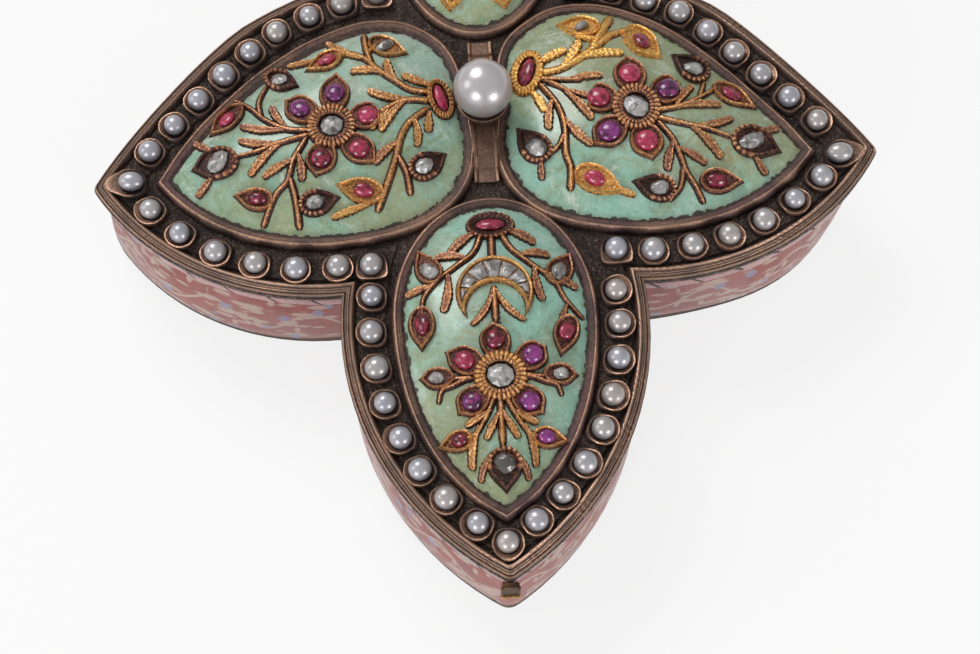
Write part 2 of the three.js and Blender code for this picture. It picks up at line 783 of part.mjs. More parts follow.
// Front panel: oval stone and crescent above the flower, a sprig with a tulip bud below it
function frontSpray(panel, seats) {
  const pieces = [
    ...ovalBezel(seats.oval, seats.turn),
    ...flower(seats.flower, Math.PI / 2),
    plainStem([at(0, -16.6), at(0, -21)]),
    prism(crescentOutline(0, crescentY), 0, bezelHeight),
    plainStem([at(0, -23), at(0, -30)]),
    plainStem([at(0, -38), at(0, -45.5)]),
    ...bud(at(0, -47.4), at(0, -52), budRadius * 1.15),
  ];
  [-1, 1].forEach((hand) => {
    const p = (x, y) => at(hand * x, y);
    pieces.push(...leafyStem(p(0.6, -17), p(6.6, -23.4), hand * 0.7, 1));
    pieces.push(...leafyStem(p(6.2, -23), p(8.6, -28), hand * 0.4, 0));
    pieces.push(...leafyStem(p(6.3, -23.2), p(8.2, -23.4), 0, 0));
    pieces.push(...bud(p(8.6, -22.0), p(9.6, -19)));
    pieces.push(...bud(p(8.9, -29.6), p(8.8, -33)));
    pieces.push(plainStem([p(2.6, -35.9), p(6, -36.2)]));
    pieces.push(...bud(p(7.4, -36), p(10, -36.4), budRadius * 0.9));
    pieces.push(...leafyStem(p(0.5, -39), p(3.3, -44.2), hand * 0.4, 1));
    pieces.push(...bud(p(4.9, -44.4), p(8, -44.6)));
  });
  return spray(panel, pieces, [flowerCut(seats), ovalCut(seats)]);
}

// Back panel: two buds hang at its inner end, and the flower and the tip bud stand above them
function backSpray(panel, seats) {
  const pieces = [
    ...flower(seats.flower, Math.PI / 2),
    plainStem([at(0, 29.5), at(0, 20.4)]),
    plainStem([at(0, 34.5), at(0, 44.6)]),
    ...bud(at(0, 46.2), at(0, 50), budRadius * 1.15),
  ];
  [-1, 1].forEach((hand) => {
    const p = (x, y) => at(hand * x, y);
    pieces.push(...leafyStem(p(0.1, 21.4), p(2.4, 20.0), 0, 0));
    pieces.push(...bud(p(2.9, 18.6), p(3.6, 16.4)));
    pieces.push(...leafyStem(p(2.0, 29.8), p(6.2, 24.6), -hand * 0.4, 1));
    pieces.push(...bud(p(6.9, 22.9), p(7.6, 20.5)));
    pieces.push(plainStem([p(2.6, 31.8), p(5.4, 31.5)]));
    pieces.push(...bud(p(6.7, 31.3), p(9, 31), budRadius * 0.9));
    pieces.push(...leafyStem(p(0.4, 35), p(3.9, 40.2), -hand * 0.3, 1));
    pieces.push(...bud(p(4.6, 41.2), p(5.6, 43.6)));
  });
  return spray(panel, pieces, [flowerCut(seats)]);
}

// Side panels: stems run from the oval stone by the middle and from the flower towards the tip
function sideSpray(panel, seats, hand) {
  const p = (x, y) => at(hand * x, y);
  const stem = (a, b, amount, pairs) => leafyStem(a, b, hand * amount, pairs);
  const pieces = [
    ...ovalBezel(seats.oval, seats.turn),
    ...stem(p(7.4, 5.2), p(19.5, 10.1), 0.9, 1),
    ...stem(p(14.2, 8.2), p(14.5, 11.1), 0, 0),
    ...stem(p(7.6, 3.6), p(14.6, 1.8), 0.4, 1),
    ...stem(p(7.4, 3.0), p(12.3, -9.3), -0.8, 1),
    ...stem(p(10.2, -3.0), p(8.2, -7.3), 0.2, 0),
    ...flower(seats.flower, Math.PI / 2 + hand * 0.2),
    ...stem(p(22.2, -0.4), p(31.6, 2.1), 0.6, 1),
    ...stem(p(26.8, 1.2), p(27.8, 4.8), 0, 0),
    ...stem(p(22, -0.9), p(32.9, -4.5), 0.5, 1),
    ...stem(p(21.6, -1.6), p(27.3, -10.4), -0.6, 1),
    ...stem(p(24.3, -6.6), p(23.3, -11.6), 0, 0),
    ...bud(p(20.7, 9.7), p(24, 9.0)),
    ...bud(p(13.0, 11.6), p(10, 12.6)),
    ...bud(p(26.9, 5.9), p(25.2, 8.4)),
    ...bud(p(32.6, 1.3), p(35, -0.2)),
    ...bud(p(34.3, -5.0), p(38, -6.2), budRadius * 1.25),
    ...bud(p(28.6, -10.6), p(31.6, -11)),
    ...bud(p(21.7, -11.3), p(18.6, -10.4)),
    ...bud(p(13.6, -10.0), p(17.2, -12)),
    ...bud(p(7.2, -6.2), p(5.2, -4.0)),
  ];
  return spray(panel, pieces, [flowerCut(seats), ovalCut(seats)]);
}

const panels = {
  front: makePanel(frontPanel, frontSheet),
  back: makePanel(backPanel, backSheet),
  right: makePanel(sidePanel, sideSheet),
  left: makePanel(mirroredPanel(sidePanel), mirroredPanel(sideSheet)),
};

const sprays = {
  front: frontSpray(panels.front, gemSeats.front),
  back: backSpray(panels.back, gemSeats.back),
  right: sideSpray(panels.right, gemSeats.right, 1),
  left: sideSpray(panels.left, gemSeats.left, -1),
};

Object.entries(panels).forEach(([side, panel]) => {
  const seats = gemSeats[side];
  place(lidBody, `panel_collar_${side}`, band(panel.edge, collarProfile()), copperyBronze);
  place(lidBody, `stone_panel_${side}`, domedStone(panel), mintStone);
  place(lidBody, `gold_spray_${side}`, sprays[side], gold);
  place(lidBody, `flower_diamond_${side}`,
    setGem(panel, seats.flower, flowerOpening - gemGap, flowerOpening - gemGap, 0), diamond);
  if (seats.oval) {
    place(lidBody, `oval_ruby_${side}`,
      setGem(panel, seats.oval, ovalOpeningLong - gemGap, ovalOpeningShort - gemGap, seats.turn), ruby);
  }
});

// Strap that bridges the middle from the front panel to the back panel
function strapPath() {
  const low = plateTop + strapThickness / 2;
  const high = low + strapRise;
  const front = strapFrontFoot + strapFootLength;
  const back = strapBackFoot - strapFootLength;
  return [
    at(strapFrontFoot, low),
    at(front, low),
    at(front + strapRampLength * 0.3, low + strapRise * 0.35),
    at(front + strapRampLength * 0.7, low + strapRise * 0.85),
    at(front + strapRampLength, high),
    at(back - strapRampLength, high),
    at(back - strapRampLength * 0.7, low + strapRise * 0.85),
    at(back - strapRampLength * 0.3, low + strapRise * 0.35),
    at(back, low),
    at(strapBackFoot, low),
  ];
}

function strap() {
  const path = strapPath();
  const under = sideLine(path, -strapThickness / 2);
  const over = sideLine(path, strapThickness / 2);
  const geometry = prism([...under, ...over.reverse()], -strapWidth / 2, strapWidth / 2);
  const sideways = new THREE.Matrix4().makeBasis(
    new THREE.Vector3(0, 1, 0),
    new THREE.Vector3(0, 0, 1),
    new THREE.Vector3(1, 0, 0),
  );
  geometry.applyMatrix4(sideways);
  return geometry;
}

function turned(profile, sides, x, y) {
  const geometry = new THREE.LatheGeometry(profile, sides);
  geometry.rotateX(Math.PI / 2);
  geometry.translate(x, y, 0);
  return geometry;
}

// Shallow cup with a peg, both under the large pearl
function pearlCup() {
  const seat = largePearlRadius + pearlSeatGap;
  const seatPoint = (depth) => at(Math.sqrt(seat ** 2 - (seat - depth) ** 2), strapTop + cupWall + depth);
  const rim = seatPoint(cupDepth);
  const profile = [
    at(0, strapTop),
    at(cupBaseRadius, strapTop),
    at(cupBaseRadius + cupWall, strapTop + cupWall / 2),
    at(rim.x + cupWall, rim.y - cupWall),
    at(rim.x + cupWall, rim.y),
    rim,
    seatPoint(cupDepth * 0.55),
    seatPoint(cupDepth * 0.2),
    at(pegRadius, strapTop + cupWall),
    at(pegRadius, strapTop + cupWall + pegLength),
    at(0, strapTop + cupWall + pegLength),
  ];
  return turned(profile, 14, 0, largePearlY);
}

// Large pearl with the drilled hole that takes the peg
function largePearl() {
  const hole = pegRadius + pearlSeatGap;
  const holeTop = strapTop + cupWall + pegLength + pearlSeatGap;
  const start = Math.asin(hole / largePearlRadius);
  const profile = [at(0, holeTop), at(hole, holeTop)];
  const steps = 8;
  for (let i = 0; i <= steps; i++) {
    const angle = start + ((Math.PI - start) * i) / steps;
    profile.push(at(largePearlRadius * Math.sin(angle), largePearlZ - largePearlRadius * Math.cos(angle)));
  }
  profile[profile.length - 1].x = 0;
  return turned(profile, 16, 0, largePearlY);
}

place(lidBody, 'strap', strap(), darkBronze);
place(lidBody, 'pearl_cup', pearlCup(), darkBronze);
place(lidBody, 'large_pearl', largePearl(), pearl);

// Hinge: leaves bent round the back tip, outer knuckles on the box, the middle one on the lid
const middleHalf = middleKnuckleLength / 2;
const outerStart = middleHalf + knuckleClearance;
const hingeHalf = outerStart + outerKnuckleLength;
const outerKnuckleMiddle = (outerStart + hingeHalf) / 2;

function leafStrap(innerInset, bottom, top) {
  const ring = solid(prism(inset(lidEdge, innerInset - hingeLeafThickness), bottom, top))
    .subtract(solid(prism(inset(lidEdge, innerInset), bottom - 1, top + 1)));
  const reach = block(-hingeHalf, hingeHalf, hingeY - hingeLeafReach, hingeY + knuckleRadius, bottom, top);
  return ring.intersect(solid(reach));
}

function hingeLeafBox() {
  const seat = wallInset - wireOverhang - leafSeatGap;
  const top = hingeZ - knuckleClearance;
  const wall = solid(prism(inset(lidEdge, seat), 0, plateTop));
  const swept = solid(bar(knuckleRadius + knuckleClearance, 2 * outerStart, 0, hingeY, hingeZ));
  const bore = solid(bar(hingeBoreRadius, 2 * hingeHalf + 2, 0, hingeY, hingeZ));
  let leaf = leafStrap(seat, top - boxLeafHeight, top);
  [-1, 1].forEach((hand) => {
    const near = Math.min(hand * outerStart, hand * hingeHalf);
    const far = Math.max(hand * outerStart, hand * hingeHalf);
    const web = block(near, far, hingeY - hingeLeafReach, hingeY, top - webHeight, top);
    const barrel = bar(knuckleRadius, outerKnuckleLength, hand * outerKnuckleMiddle, hingeY, hingeZ);
    leaf = leaf.add(solid(web).subtract(wall)).add(solid(barrel));
  });
  return geometryOf(leaf.subtract(swept).subtract(bore));
}

function hingeLeafLid() {
  const seat = skirtInset - leafSeatGap;
  const bottom = hingeZ + knuckleClearance;
  const top = plateBottom - leafSeatGap;
  const skirt = solid(prism(inset(lidEdge, seat), 0, plateTop));
  const web = solid(block(-middleHalf, middleHalf, hingeY - hingeLeafReach, hingeY, hingeZ, top)).subtract(skirt);
  const barrel = solid(bar(knuckleRadius, middleKnuckleLength, 0, hingeY, hingeZ));
  const bore = solid(bar(hingeBoreRadius, 2 * hingeHalf + 2, 0, hingeY, hingeZ));
  return geometryOf(leafStrap(seat, bottom, top).add(web).add(barrel).subtract(bore));
}

place(boxBody, 'hinge_leaf_box', hingeLeafBox(), copperyBronze);
place(lidBody, 'hinge_leaf_lid', hingeLeafLid(), copperyBronze);
place(boxBody, 'hinge_pin', bar(hingePinRadius, 2 * (hingeHalf + hingePinOverhang), 0, hingeY, hingeZ), brass);

// Clasp: a tongue with a rolled end hangs from the lid's front tip and snaps under a bead on the box
const tongueInner = -(frontTipReach + claspGap);
const rollY = tongueInner - claspThickness / 2;
const rollZ = plateTop - claspDrop - claspRollRadius;
const catchY = rollY + claspRollRadius + claspPassing + catchRadius;
const catchZ = rollZ + claspRollRadius + catchRadius + claspPassing;

function claspTongue() {
  const plate = block(-claspWidth / 2, claspWidth / 2, tongueInner - claspThickness, tongueInner, rollZ, plateTop);
  return geometryOf(join([plate, bar(claspRollRadius, claspWidth, 0, rollY, rollZ, 12)]));
}

function claspCatch() {
  const wall = solid(prism(inset(lidEdge, wallInset - claspGap), 0, plateTop));
  const stub = block(-catchWidth / 2, catchWidth / 2, catchY, catchY + 4 * catchRadius, catchZ - catchRadius / 2,
    catchZ + catchRadius / 2);
  return geometryOf(solid(stub).subtract(wall).add(solid(bar(catchRadius, catchWidth, 0, catchY, catchZ, 12))));
}

place(lidBody, 'clasp_tongue', claspTongue(), brass);
place(boxBody, 'clasp_catch', claspCatch(), brass);

const jewelledBox = new THREE.Group();
jewelledBox.name = 'jewelled_box';
jewelledBox.add(boxBody, lidBody);

export default jewelledBox;
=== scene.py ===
"""Jewelled box in the form of a pointed four-petal flower, with stone panels, gold sprays and pearls."""
import math
import random

import bmesh
import bpy
from mathutils import Matrix, Vector, geometry, noise


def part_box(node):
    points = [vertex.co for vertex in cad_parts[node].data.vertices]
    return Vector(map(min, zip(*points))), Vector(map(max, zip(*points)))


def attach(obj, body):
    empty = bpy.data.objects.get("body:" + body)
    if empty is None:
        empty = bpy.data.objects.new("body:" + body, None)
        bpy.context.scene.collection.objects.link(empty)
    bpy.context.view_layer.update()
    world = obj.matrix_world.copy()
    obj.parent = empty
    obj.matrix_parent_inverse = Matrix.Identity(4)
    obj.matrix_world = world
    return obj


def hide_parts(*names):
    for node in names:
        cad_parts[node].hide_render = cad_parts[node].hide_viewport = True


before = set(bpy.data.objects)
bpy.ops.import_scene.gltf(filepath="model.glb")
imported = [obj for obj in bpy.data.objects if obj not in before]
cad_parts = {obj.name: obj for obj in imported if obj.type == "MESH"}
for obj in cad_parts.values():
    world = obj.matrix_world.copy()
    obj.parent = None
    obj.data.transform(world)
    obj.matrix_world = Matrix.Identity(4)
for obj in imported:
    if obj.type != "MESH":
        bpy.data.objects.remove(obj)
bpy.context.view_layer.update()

bl_info = {
    "name": "Jewelled Box",
    "version": (1, 0, 0),
    "blender": (4, 5, 0),
    "location": "View3D > Sidebar > Jewelled Box",
    "description": "Builds an enamelled box whose lid carries stone panels, gold sprays and pearls",
    "category": "Add Mesh",
}

MM = 0.001
SIDES = ("front", "right", "back", "left")


# Sizes and colours

def span(node):
    """Lowest and highest corner of a node of the frame, in millimetres"""
    low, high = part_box(node)
    return Vector(low) / MM, Vector(high) / MM


def length(name, description, value):
    return bpy.props.FloatProperty(name=name, description=description, default=value * MM, unit="LENGTH",
        subtype="DISTANCE", min=0, precision=5)


def colour(name, description, value):
    return bpy.props.FloatVectorProperty(name=name, description=description, default=value, size=3,
        subtype="COLOR", min=0, max=1)


class JewelledBoxSizes(bpy.types.PropertyGroup):
    """Sizes of the box that are not read from its frame"""
    front_corner_x: length("Front corner across", "Corner between the front and side petals, from the middle",
        19)
    front_corner_y: length("Front corner along", "The same corner, towards the front", 23.4)
    back_corner_x: length("Back corner across", "Corner between the back and side petals, from the middle",
        17.8)
    back_corner_y: length("Back corner along", "The same corner, towards the back", 22.8)
    long_rise: length("Long petal bulge", "How far a flank of the front and back petals bulges", 6.3)
    side_rise: length("Side petal bulge", "How far a flank of the side petals bulges", 4.9)
    side_forward: length("Side tip forward", "How far the side tips lie ahead of the middle", 6.6)
    wall_inset: length("Wall inset", "From the lid's edge in to the enamelled wall", 1.2)
    wall_thickness: length("Wall thickness", "Thickness of the enamelled wall", 1.2)
    lip_inset: length("Lip inset", "From the lid's edge in to the inner lip", 2.6)
    lip_thickness: length("Lip thickness", "Thickness of the inner lip", 0.7)
    skirt_inset: length("Skirt inset", "From the lid's edge in to its skirt", 0.6)
    skirt_width: length("Skirt thickness", "Thickness of the skirt", 1.55)
    track_inset: length("Pearl track", "From the lid's edge in to the line of seed pearls", 3.9)
    pearl_radius: length("Seed pearl radius", "Radius of a common seed pearl", 1.42)
    collar_radius: length("Pearl collar radius", "Outer radius of a seed pearl's collar", 2.02)
    bed_width: length("Bed width", "Width of the granulated bed under the pearls", 3.4)
    band_width: length("Panel collar width", "Width of the collar round a stone panel", 1.05)


class JewelledBoxColours(bpy.types.PropertyGroup):
    """Colours of the finishes, as linear values"""
    bronze: colour("Dark bronze", "Ground of the lid in its recesses", (0.036, 0.025, 0.022))
    bronze_crest: colour("Worn bronze", "The same metal where it is rubbed", (0.34, 0.245, 0.195))
    copper: colour("Coppery bronze", "Collars and wires where they are rubbed", (0.5, 0.3, 0.21))
    copper_recess: colour("Coppery recess", "Collars and wires in their recesses", (0.042, 0.025, 0.021))
    gold: colour("Gold", "Crests of the gold sprays", (0.72, 0.32, 0.14))
    bright_gold: colour("Bright gold", "Crests of the gold by the middle and the right", (0.98, 0.55, 0.13))
    # The gold recess colour also fills the thin sheet round the gold's foot, a painted dark outline of shade
    # and grime
    gold_recess: colour("Gold recess", "Foot of the gold work, where dirt gathers", (0.03, 0.014, 0.011))
    brass: colour("Brass", "Clasp and inner lip", (0.52, 0.35, 0.15))
    stone: colour("Stone", "Polished mint green stone", (0.36, 0.52, 0.38))
    stone_blue: colour("Stone, blue areas", "Bluer parts of the stone", (0.28, 0.57, 0.47))
    stone_olive: colour("Stone, olive areas", "Yellower parts of the stone", (0.36, 0.37, 0.19))
    ruby: colour("Ruby", "Crimson stones", (0.36, 0.01, 0.05))
    purple_ruby: colour("Purple ruby", "Purple stones", (0.22, 0.014, 0.13))
    # The rose-cut stones are painted between these two colours cell by cell: painted reflections of their
    # facets, with cracks and tint
    diamond: colour("Diamond", "Light facets of the rose-cut stones", (0.55, 0.54, 0.53))
    diamond_shade: colour("Diamond shade", "Dark facets of the rose-cut stones", (0.1, 0.095, 0.085))
    pearl: colour("Pearl", "Cool pearls", (0.5, 0.5, 0.555))
    cream_pearl: colour("Cream pearl", "Warm pearls", (0.57, 0.505, 0.42))
    large_pearl: colour("Large pearl", "The pearl in the middle", (0.62, 0.59, 0.6))
    enamel: colour("Enamel ground", "Red-brown ground of the wall", (0.29, 0.072, 0.058))
    enamel_cream: colour("Enamel cream", "Leaves and flowers on the wall", (0.62, 0.5, 0.42))
    enamel_blue: colour("Enamel blue", "Small blossoms on the wall", (0.26, 0.25, 0.36))
    skirt: colour("Skirt enamel", "Pink enamel of the lid's skirt", (0.4, 0.22, 0.215))


def sizes():
    return bpy.context.scene.jewelled_box_sizes


def colours():
    return bpy.context.scene.jewelled_box_colours


def mm(name):
    """A size in millimetres"""
    return getattr(sizes(), name) / MM


# Outlines on the plane of the lid, in millimetres

def circle_of(start, end, rise):
    """Centre and radius of the arc from start to end that bulges to the right of its way"""
    chord = end - start
    half = chord.length / 2
    radius = (half * half + rise * rise) / (2 * rise)
    outward = Vector((chord.y, -chord.x)).normalized()
    return (start + end) / 2 + outward * (rise - radius), radius


def bezier(knots, count):
    """Points along the curve that four knots on the plane draw"""
    return [p.xy for p in geometry.interpolate_bezier(*[knot.to_3d() for knot in knots], count)]


FLANK_STEPS = 18

# How far the back flanks of the side petals fall short of a true arc, in millimetres, and the share that does
FLANK_SAG = {2: 1.3, 5: 1.05}
SAG_SHARE = 0.65


def sag(flank, share, deepest, part=SAG_SHARE):
    """How far a point of a flank lies inside the true arc, over the part of the flank next to its tip"""
    from_tip = 1 - share if flank % 2 else share
    return deepest * math.sin(math.pi * min(from_tip / part, 1))


def lid_outline(reach=0):
    """The lid's edge moved in by reach, counter-clockwise from the front tip, FLANK_STEPS points a flank"""
    low, high = span("lid_plate")
    forward = mm("side_forward")
    tips = [Vector((0, low.y)), Vector((high.x, -forward)), Vector((0, high.y)), Vector((low.x, -forward))]
    front = Vector((mm("front_corner_x"), -mm("front_corner_y")))
    back = Vector((mm("back_corner_x"), mm("back_corner_y")))
    corners = [front, back, Vector((-back.x, back.y)), Vector((-front.x, front.y))]
    rises = [mm("long_rise"), mm("side_rise"), mm("side_rise"), mm("long_rise")] * 2
    stops = [p for pair in zip(tips, corners) for p in pair]
    count = len(stops)
    circles = [circle_of(stops[i], stops[(i + 1) % count], rise) for i, rise in enumerate(rises)]
    meetings = []
    for i, stop in enumerate(stops):
        (one, one_radius), (two, two_radius) = circles[i - 1], circles[i]
        hits = geometry.intersect_sphere_sphere_2d(one, one_radius - reach, two, two_radius - reach)
        meetings.append(min(hits, key=lambda p: (p - stop).length))
    points = []
    for i, (centre, radius) in enumerate(circles):
        first, last = [math.atan2(p.y - centre.y, p.x - centre.x)
            for p in (meetings[i], meetings[(i + 1) % count])]
        swing = (last - first) % (2 * math.pi)
        for k in range(FLANK_STEPS):
            angle = first + swing * k / FLANK_STEPS
            short = sag(i, k / FLANK_STEPS, FLANK_SAG.get(i, 0))
            points.append(centre + Vector((math.cos(angle), math.sin(angle))) * (radius - reach - short))
    return points


TIP_STEPS = 6
TIP_PULL = 0.7


def soft_outline(reach, arm, bulge=0):
    """The lid's edge moved in by reach, with its four tips rounded off and its flanks swollen by the bulge"""
    loop = lid_outline(reach)
    loop = inset(loop, [-bulge * math.sin(math.pi * (i % FLANK_STEPS) / FLANK_STEPS)
        for i in range(len(loop))])
    points = []
    for i, point in enumerate(loop):
        if i % (2 * FLANK_STEPS):
            points.append(point)
            continue
        start = point + (loop[i - 1] - point).normalized() * arm
        end = point + (loop[i + 1] - point).normalized() * arm
        knots = (start, start.lerp(point, TIP_PULL), end.lerp(point, TIP_PULL), end)
        points += bezier(knots, TIP_STEPS + 1)
    return points


MITRE_LIMIT = 0.28


def inset(loop, distance):
    """Moves the sides of a closed outline inwards; distance may be a list with one value to a point"""
    count = len(loop)
    moved = []
    for i, point in enumerate(loop):
        arriving = (point - loop[i - 1]).normalized()
        leaving = (loop[(i + 1) % count] - point).normalized()
        bisector = Vector((-arriving.y - leaving.y, arriving.x + leaving.x)).normalized()
        cosine = max(-bisector.x * arriving.y + bisector.y * arriving.x, MITRE_LIMIT)
        reach = distance[i] if isinstance(distance, (list, tuple)) else distance
        moved.append(point + bisector * (reach / cosine))
    return moved


def lengths_along(points):
    """Running length at each point"""
    totals = [0]
    for a, b in zip(points, points[1:]):
        totals.append(totals[-1] + (b - a).length)
    return totals


def even_points(path, intervals):
    """Points at even steps along an open path"""
    totals = lengths_along(path)
    spots = []
    for k in range(intervals + 1):
        target = totals[-1] * k / intervals
        i = 1
        while i < len(path) - 1 and totals[i] < target:
            i += 1
        share = (target - totals[i - 1]) / (totals[i] - totals[i - 1])
        spots.append(path[i - 1].lerp(path[i], share))
    return spots


def smooth_path(points, steps=6):
    """A soft curve through a few points"""
    if len(points) == 2:
        return [points[0].lerp(points[1], i / steps) for i in range(steps + 1)]
    ends = [points[0] * 2 - points[1]] + points + [points[-1] * 2 - points[-2]]
    path = [points[0]]
    for a, b, c, d in zip(ends, ends[1:], ends[2:], ends[3:]):
        path += bezier((b, b + (c - a) / 6, c - (d - b) / 6, c), steps + 1)[1:]
    return path


def ellipse(centre, long, short, turn=0, count=28):
    c, s = math.cos(turn), math.sin(turn)
    points = []
    for i in range(count):
        angle = 2 * math.pi * i / count
        x, y = long * math.cos(angle), short * math.sin(angle)
        points.append(centre + Vector((x * c - y * s, x * s + y * c)))
    return points


def left_of(way):
    return Vector((-way.y, way.x)).normalized()


# Mesh building

WHOLE_LAYERS = ("place", "row")
FLOAT_LAYERS = ("relief", "tint")


def new_mesh():
    """A mesh whose points know their place in a ring, their ring's row, their wear and painted shade, and
    their tint
    """
    bm = bmesh.new()
    for name in WHOLE_LAYERS:
        bm.verts.layers.int.new(name)
    for name in FLOAT_LAYERS:
        bm.verts.layers.float.new(name)
    return bm


def layer(bm, name):
    kind = bm.verts.layers.int if name in WHOLE_LAYERS else bm.verts.layers.float
    return kind[name]


def points_after(bm, before):
    """The points that a mesh has gained since it had so many"""
    bm.verts.ensure_lookup_table()
    return bm.verts[before:]


def at_height(loop, z):
    return [Vector((p.x, p.y, z)) for p in loop]


def ring_edges(bm, points):
    """Draws a closed ring of edges whose points know their place in it"""
    place, row = layer(bm, "place"), layer(bm, "row")
    verts = [bm.verts.new(p) for p in points]
    for i, vert in enumerate(verts):
        vert[place] = i
        vert[row] = 0
    return [bm.edges.new((vert, verts[(i + 1) % len(verts)])) for i, vert in enumerate(verts)]


def sweep(bm, rings, cap_start=False, cap_end=False):
    """Draws the first ring and extrudes it through the others, which have as many points"""
    place, row = layer(bm, "place"), layer(bm, "row")
    edges = ring_edges(bm, rings[0])
    if cap_start:
        bmesh.ops.contextual_create(bm, geom=edges)
    for k, ring in enumerate(rings[1:], 1):
        grown = bmesh.ops.extrude_edge_only(bm, edges=edges)["geom"]
        for vert in (g for g in grown if isinstance(g, bmesh.types.BMVert)):
            vert.co = ring[vert[place]]
            vert[row] = k
        edges = [g for g in grown if isinstance(g, bmesh.types.BMEdge) and all(v[row] == k for v in g.verts)]
    if cap_end:
        bmesh.ops.contextual_create(bm, geom=edges)


def lid_band(bm, profile, arm=0):
    """A closed band along the lid's edge; each line of the profile has a reach, a height and a bulge"""
    rings = []
    for reach, z, *bulge in profile:
        rings.append(at_height(soft_outline(reach, arm, *bulge) if arm else lid_outline(reach), z))
    sweep(bm, rings + rings[:1])


def shade_rows(bm, shades):
    """Sets how worn each line of a sweep is"""
    relief, row = layer(bm, "relief"), layer(bm, "row")
    for vert in bm.verts:
        vert[relief] = shades[vert[row] % len(shades)]


def unwrap(bm, loop):
    """UV in millimetres: along the outline, and up the profile"""
    place = layer(bm, "place")
    uv = bm.loops.layers.uv.new("UVMap")
    totals = lengths_along(loop + loop[:1])
    count = len(loop)
    for face in bm.faces:
        places = [corner.vert[place] for corner in face.loops]
        wraps = max(places) == count - 1 and min(places) == 0
        for corner in face.loops:
            spot = corner.vert[place]
            along = totals[count] if wraps and spot == 0 else totals[spot]
            corner[uv].uv = (along, corner.vert.co.z)


def set_relief(bm, low, high, verts=None):
    """Says how far up from its foot each point lies, 0 to 1, for wear on the crests and painted shade on
    pearls
    """
    relief = layer(bm, "relief")
    for vert in verts or bm.verts:
        vert[relief] = min(max((vert.co.z - low) / (high - low), 0), 1)


SHARP_ANGLE = math.radians(38)
WELD = 0.002


def finish_piece(name, bm, paint, nodes=(), body="lid", smooth=True):
    """Turns a mesh in millimetres into a piece in metres that rides on its body"""
    bmesh.ops.remove_doubles(bm, verts=bm.verts, dist=WELD)
    bmesh.ops.dissolve_degenerate(bm, edges=bm.edges, dist=WELD / 4)
    bmesh.ops.triangulate(bm, faces=[face for face in bm.faces if len(face.verts) > 4])
    bmesh.ops.recalc_face_normals(bm, faces=bm.faces)
    bmesh.ops.scale(bm, vec=(MM, MM, MM), verts=bm.verts)
    for face in bm.faces:
        face.smooth = smooth
    mesh = bpy.data.meshes.new(name)
    bm.to_mesh(mesh)
    bm.free()
    if smooth:
        mesh.set_sharp_from_angle(angle=SHARP_ANGLE)
    piece = bpy.data.objects.new(name, mesh)
    bpy.context.scene.collection.objects.link(piece)
    mesh.materials.append(paint)
    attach(piece, body)
    if nodes:
        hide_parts(*nodes)
    return piece


# Materials

def acting(operation):
    """A method that adds a Math node to the number it is called on, with what it is given after it"""
    return lambda self, *others: self.paint.math(operation, self, *others)


def reflected(operation):
    return lambda self, other: self.paint.math(operation, other, self)


class Value:
    """A number in a node tree; arithmetic on it adds Math nodes"""

    __add__, __radd__ = acting("ADD"), reflected("ADD")
    __sub__, __rsub__ = acting("SUBTRACT"), reflected("SUBTRACT")
    __mul__, __rmul__ = acting("MULTIPLY"), reflected("MULTIPLY")
    __truediv__, __rtruediv__ = acting("DIVIDE"), reflected("DIVIDE")
    fraction, size, sine = acting("FRACT"), acting("ABSOLUTE"), acting("SINE")
    least, most = acting("MINIMUM"), acting("MAXIMUM")

    def __init__(self, paint, socket):
        self.paint = paint
        self.socket = socket

    def clamp(self):
        return self.paint.math("ADD", self, 0, clamp=True)

    def step(self, low, high):
        """Rises softly from 0 at low to 1 at high"""
        return self.paint.value("ShaderNodeMapRange", {"interpolation_type": "SMOOTHSTEP"},
            {"Value": self, "From Min": low, "From Max": high})


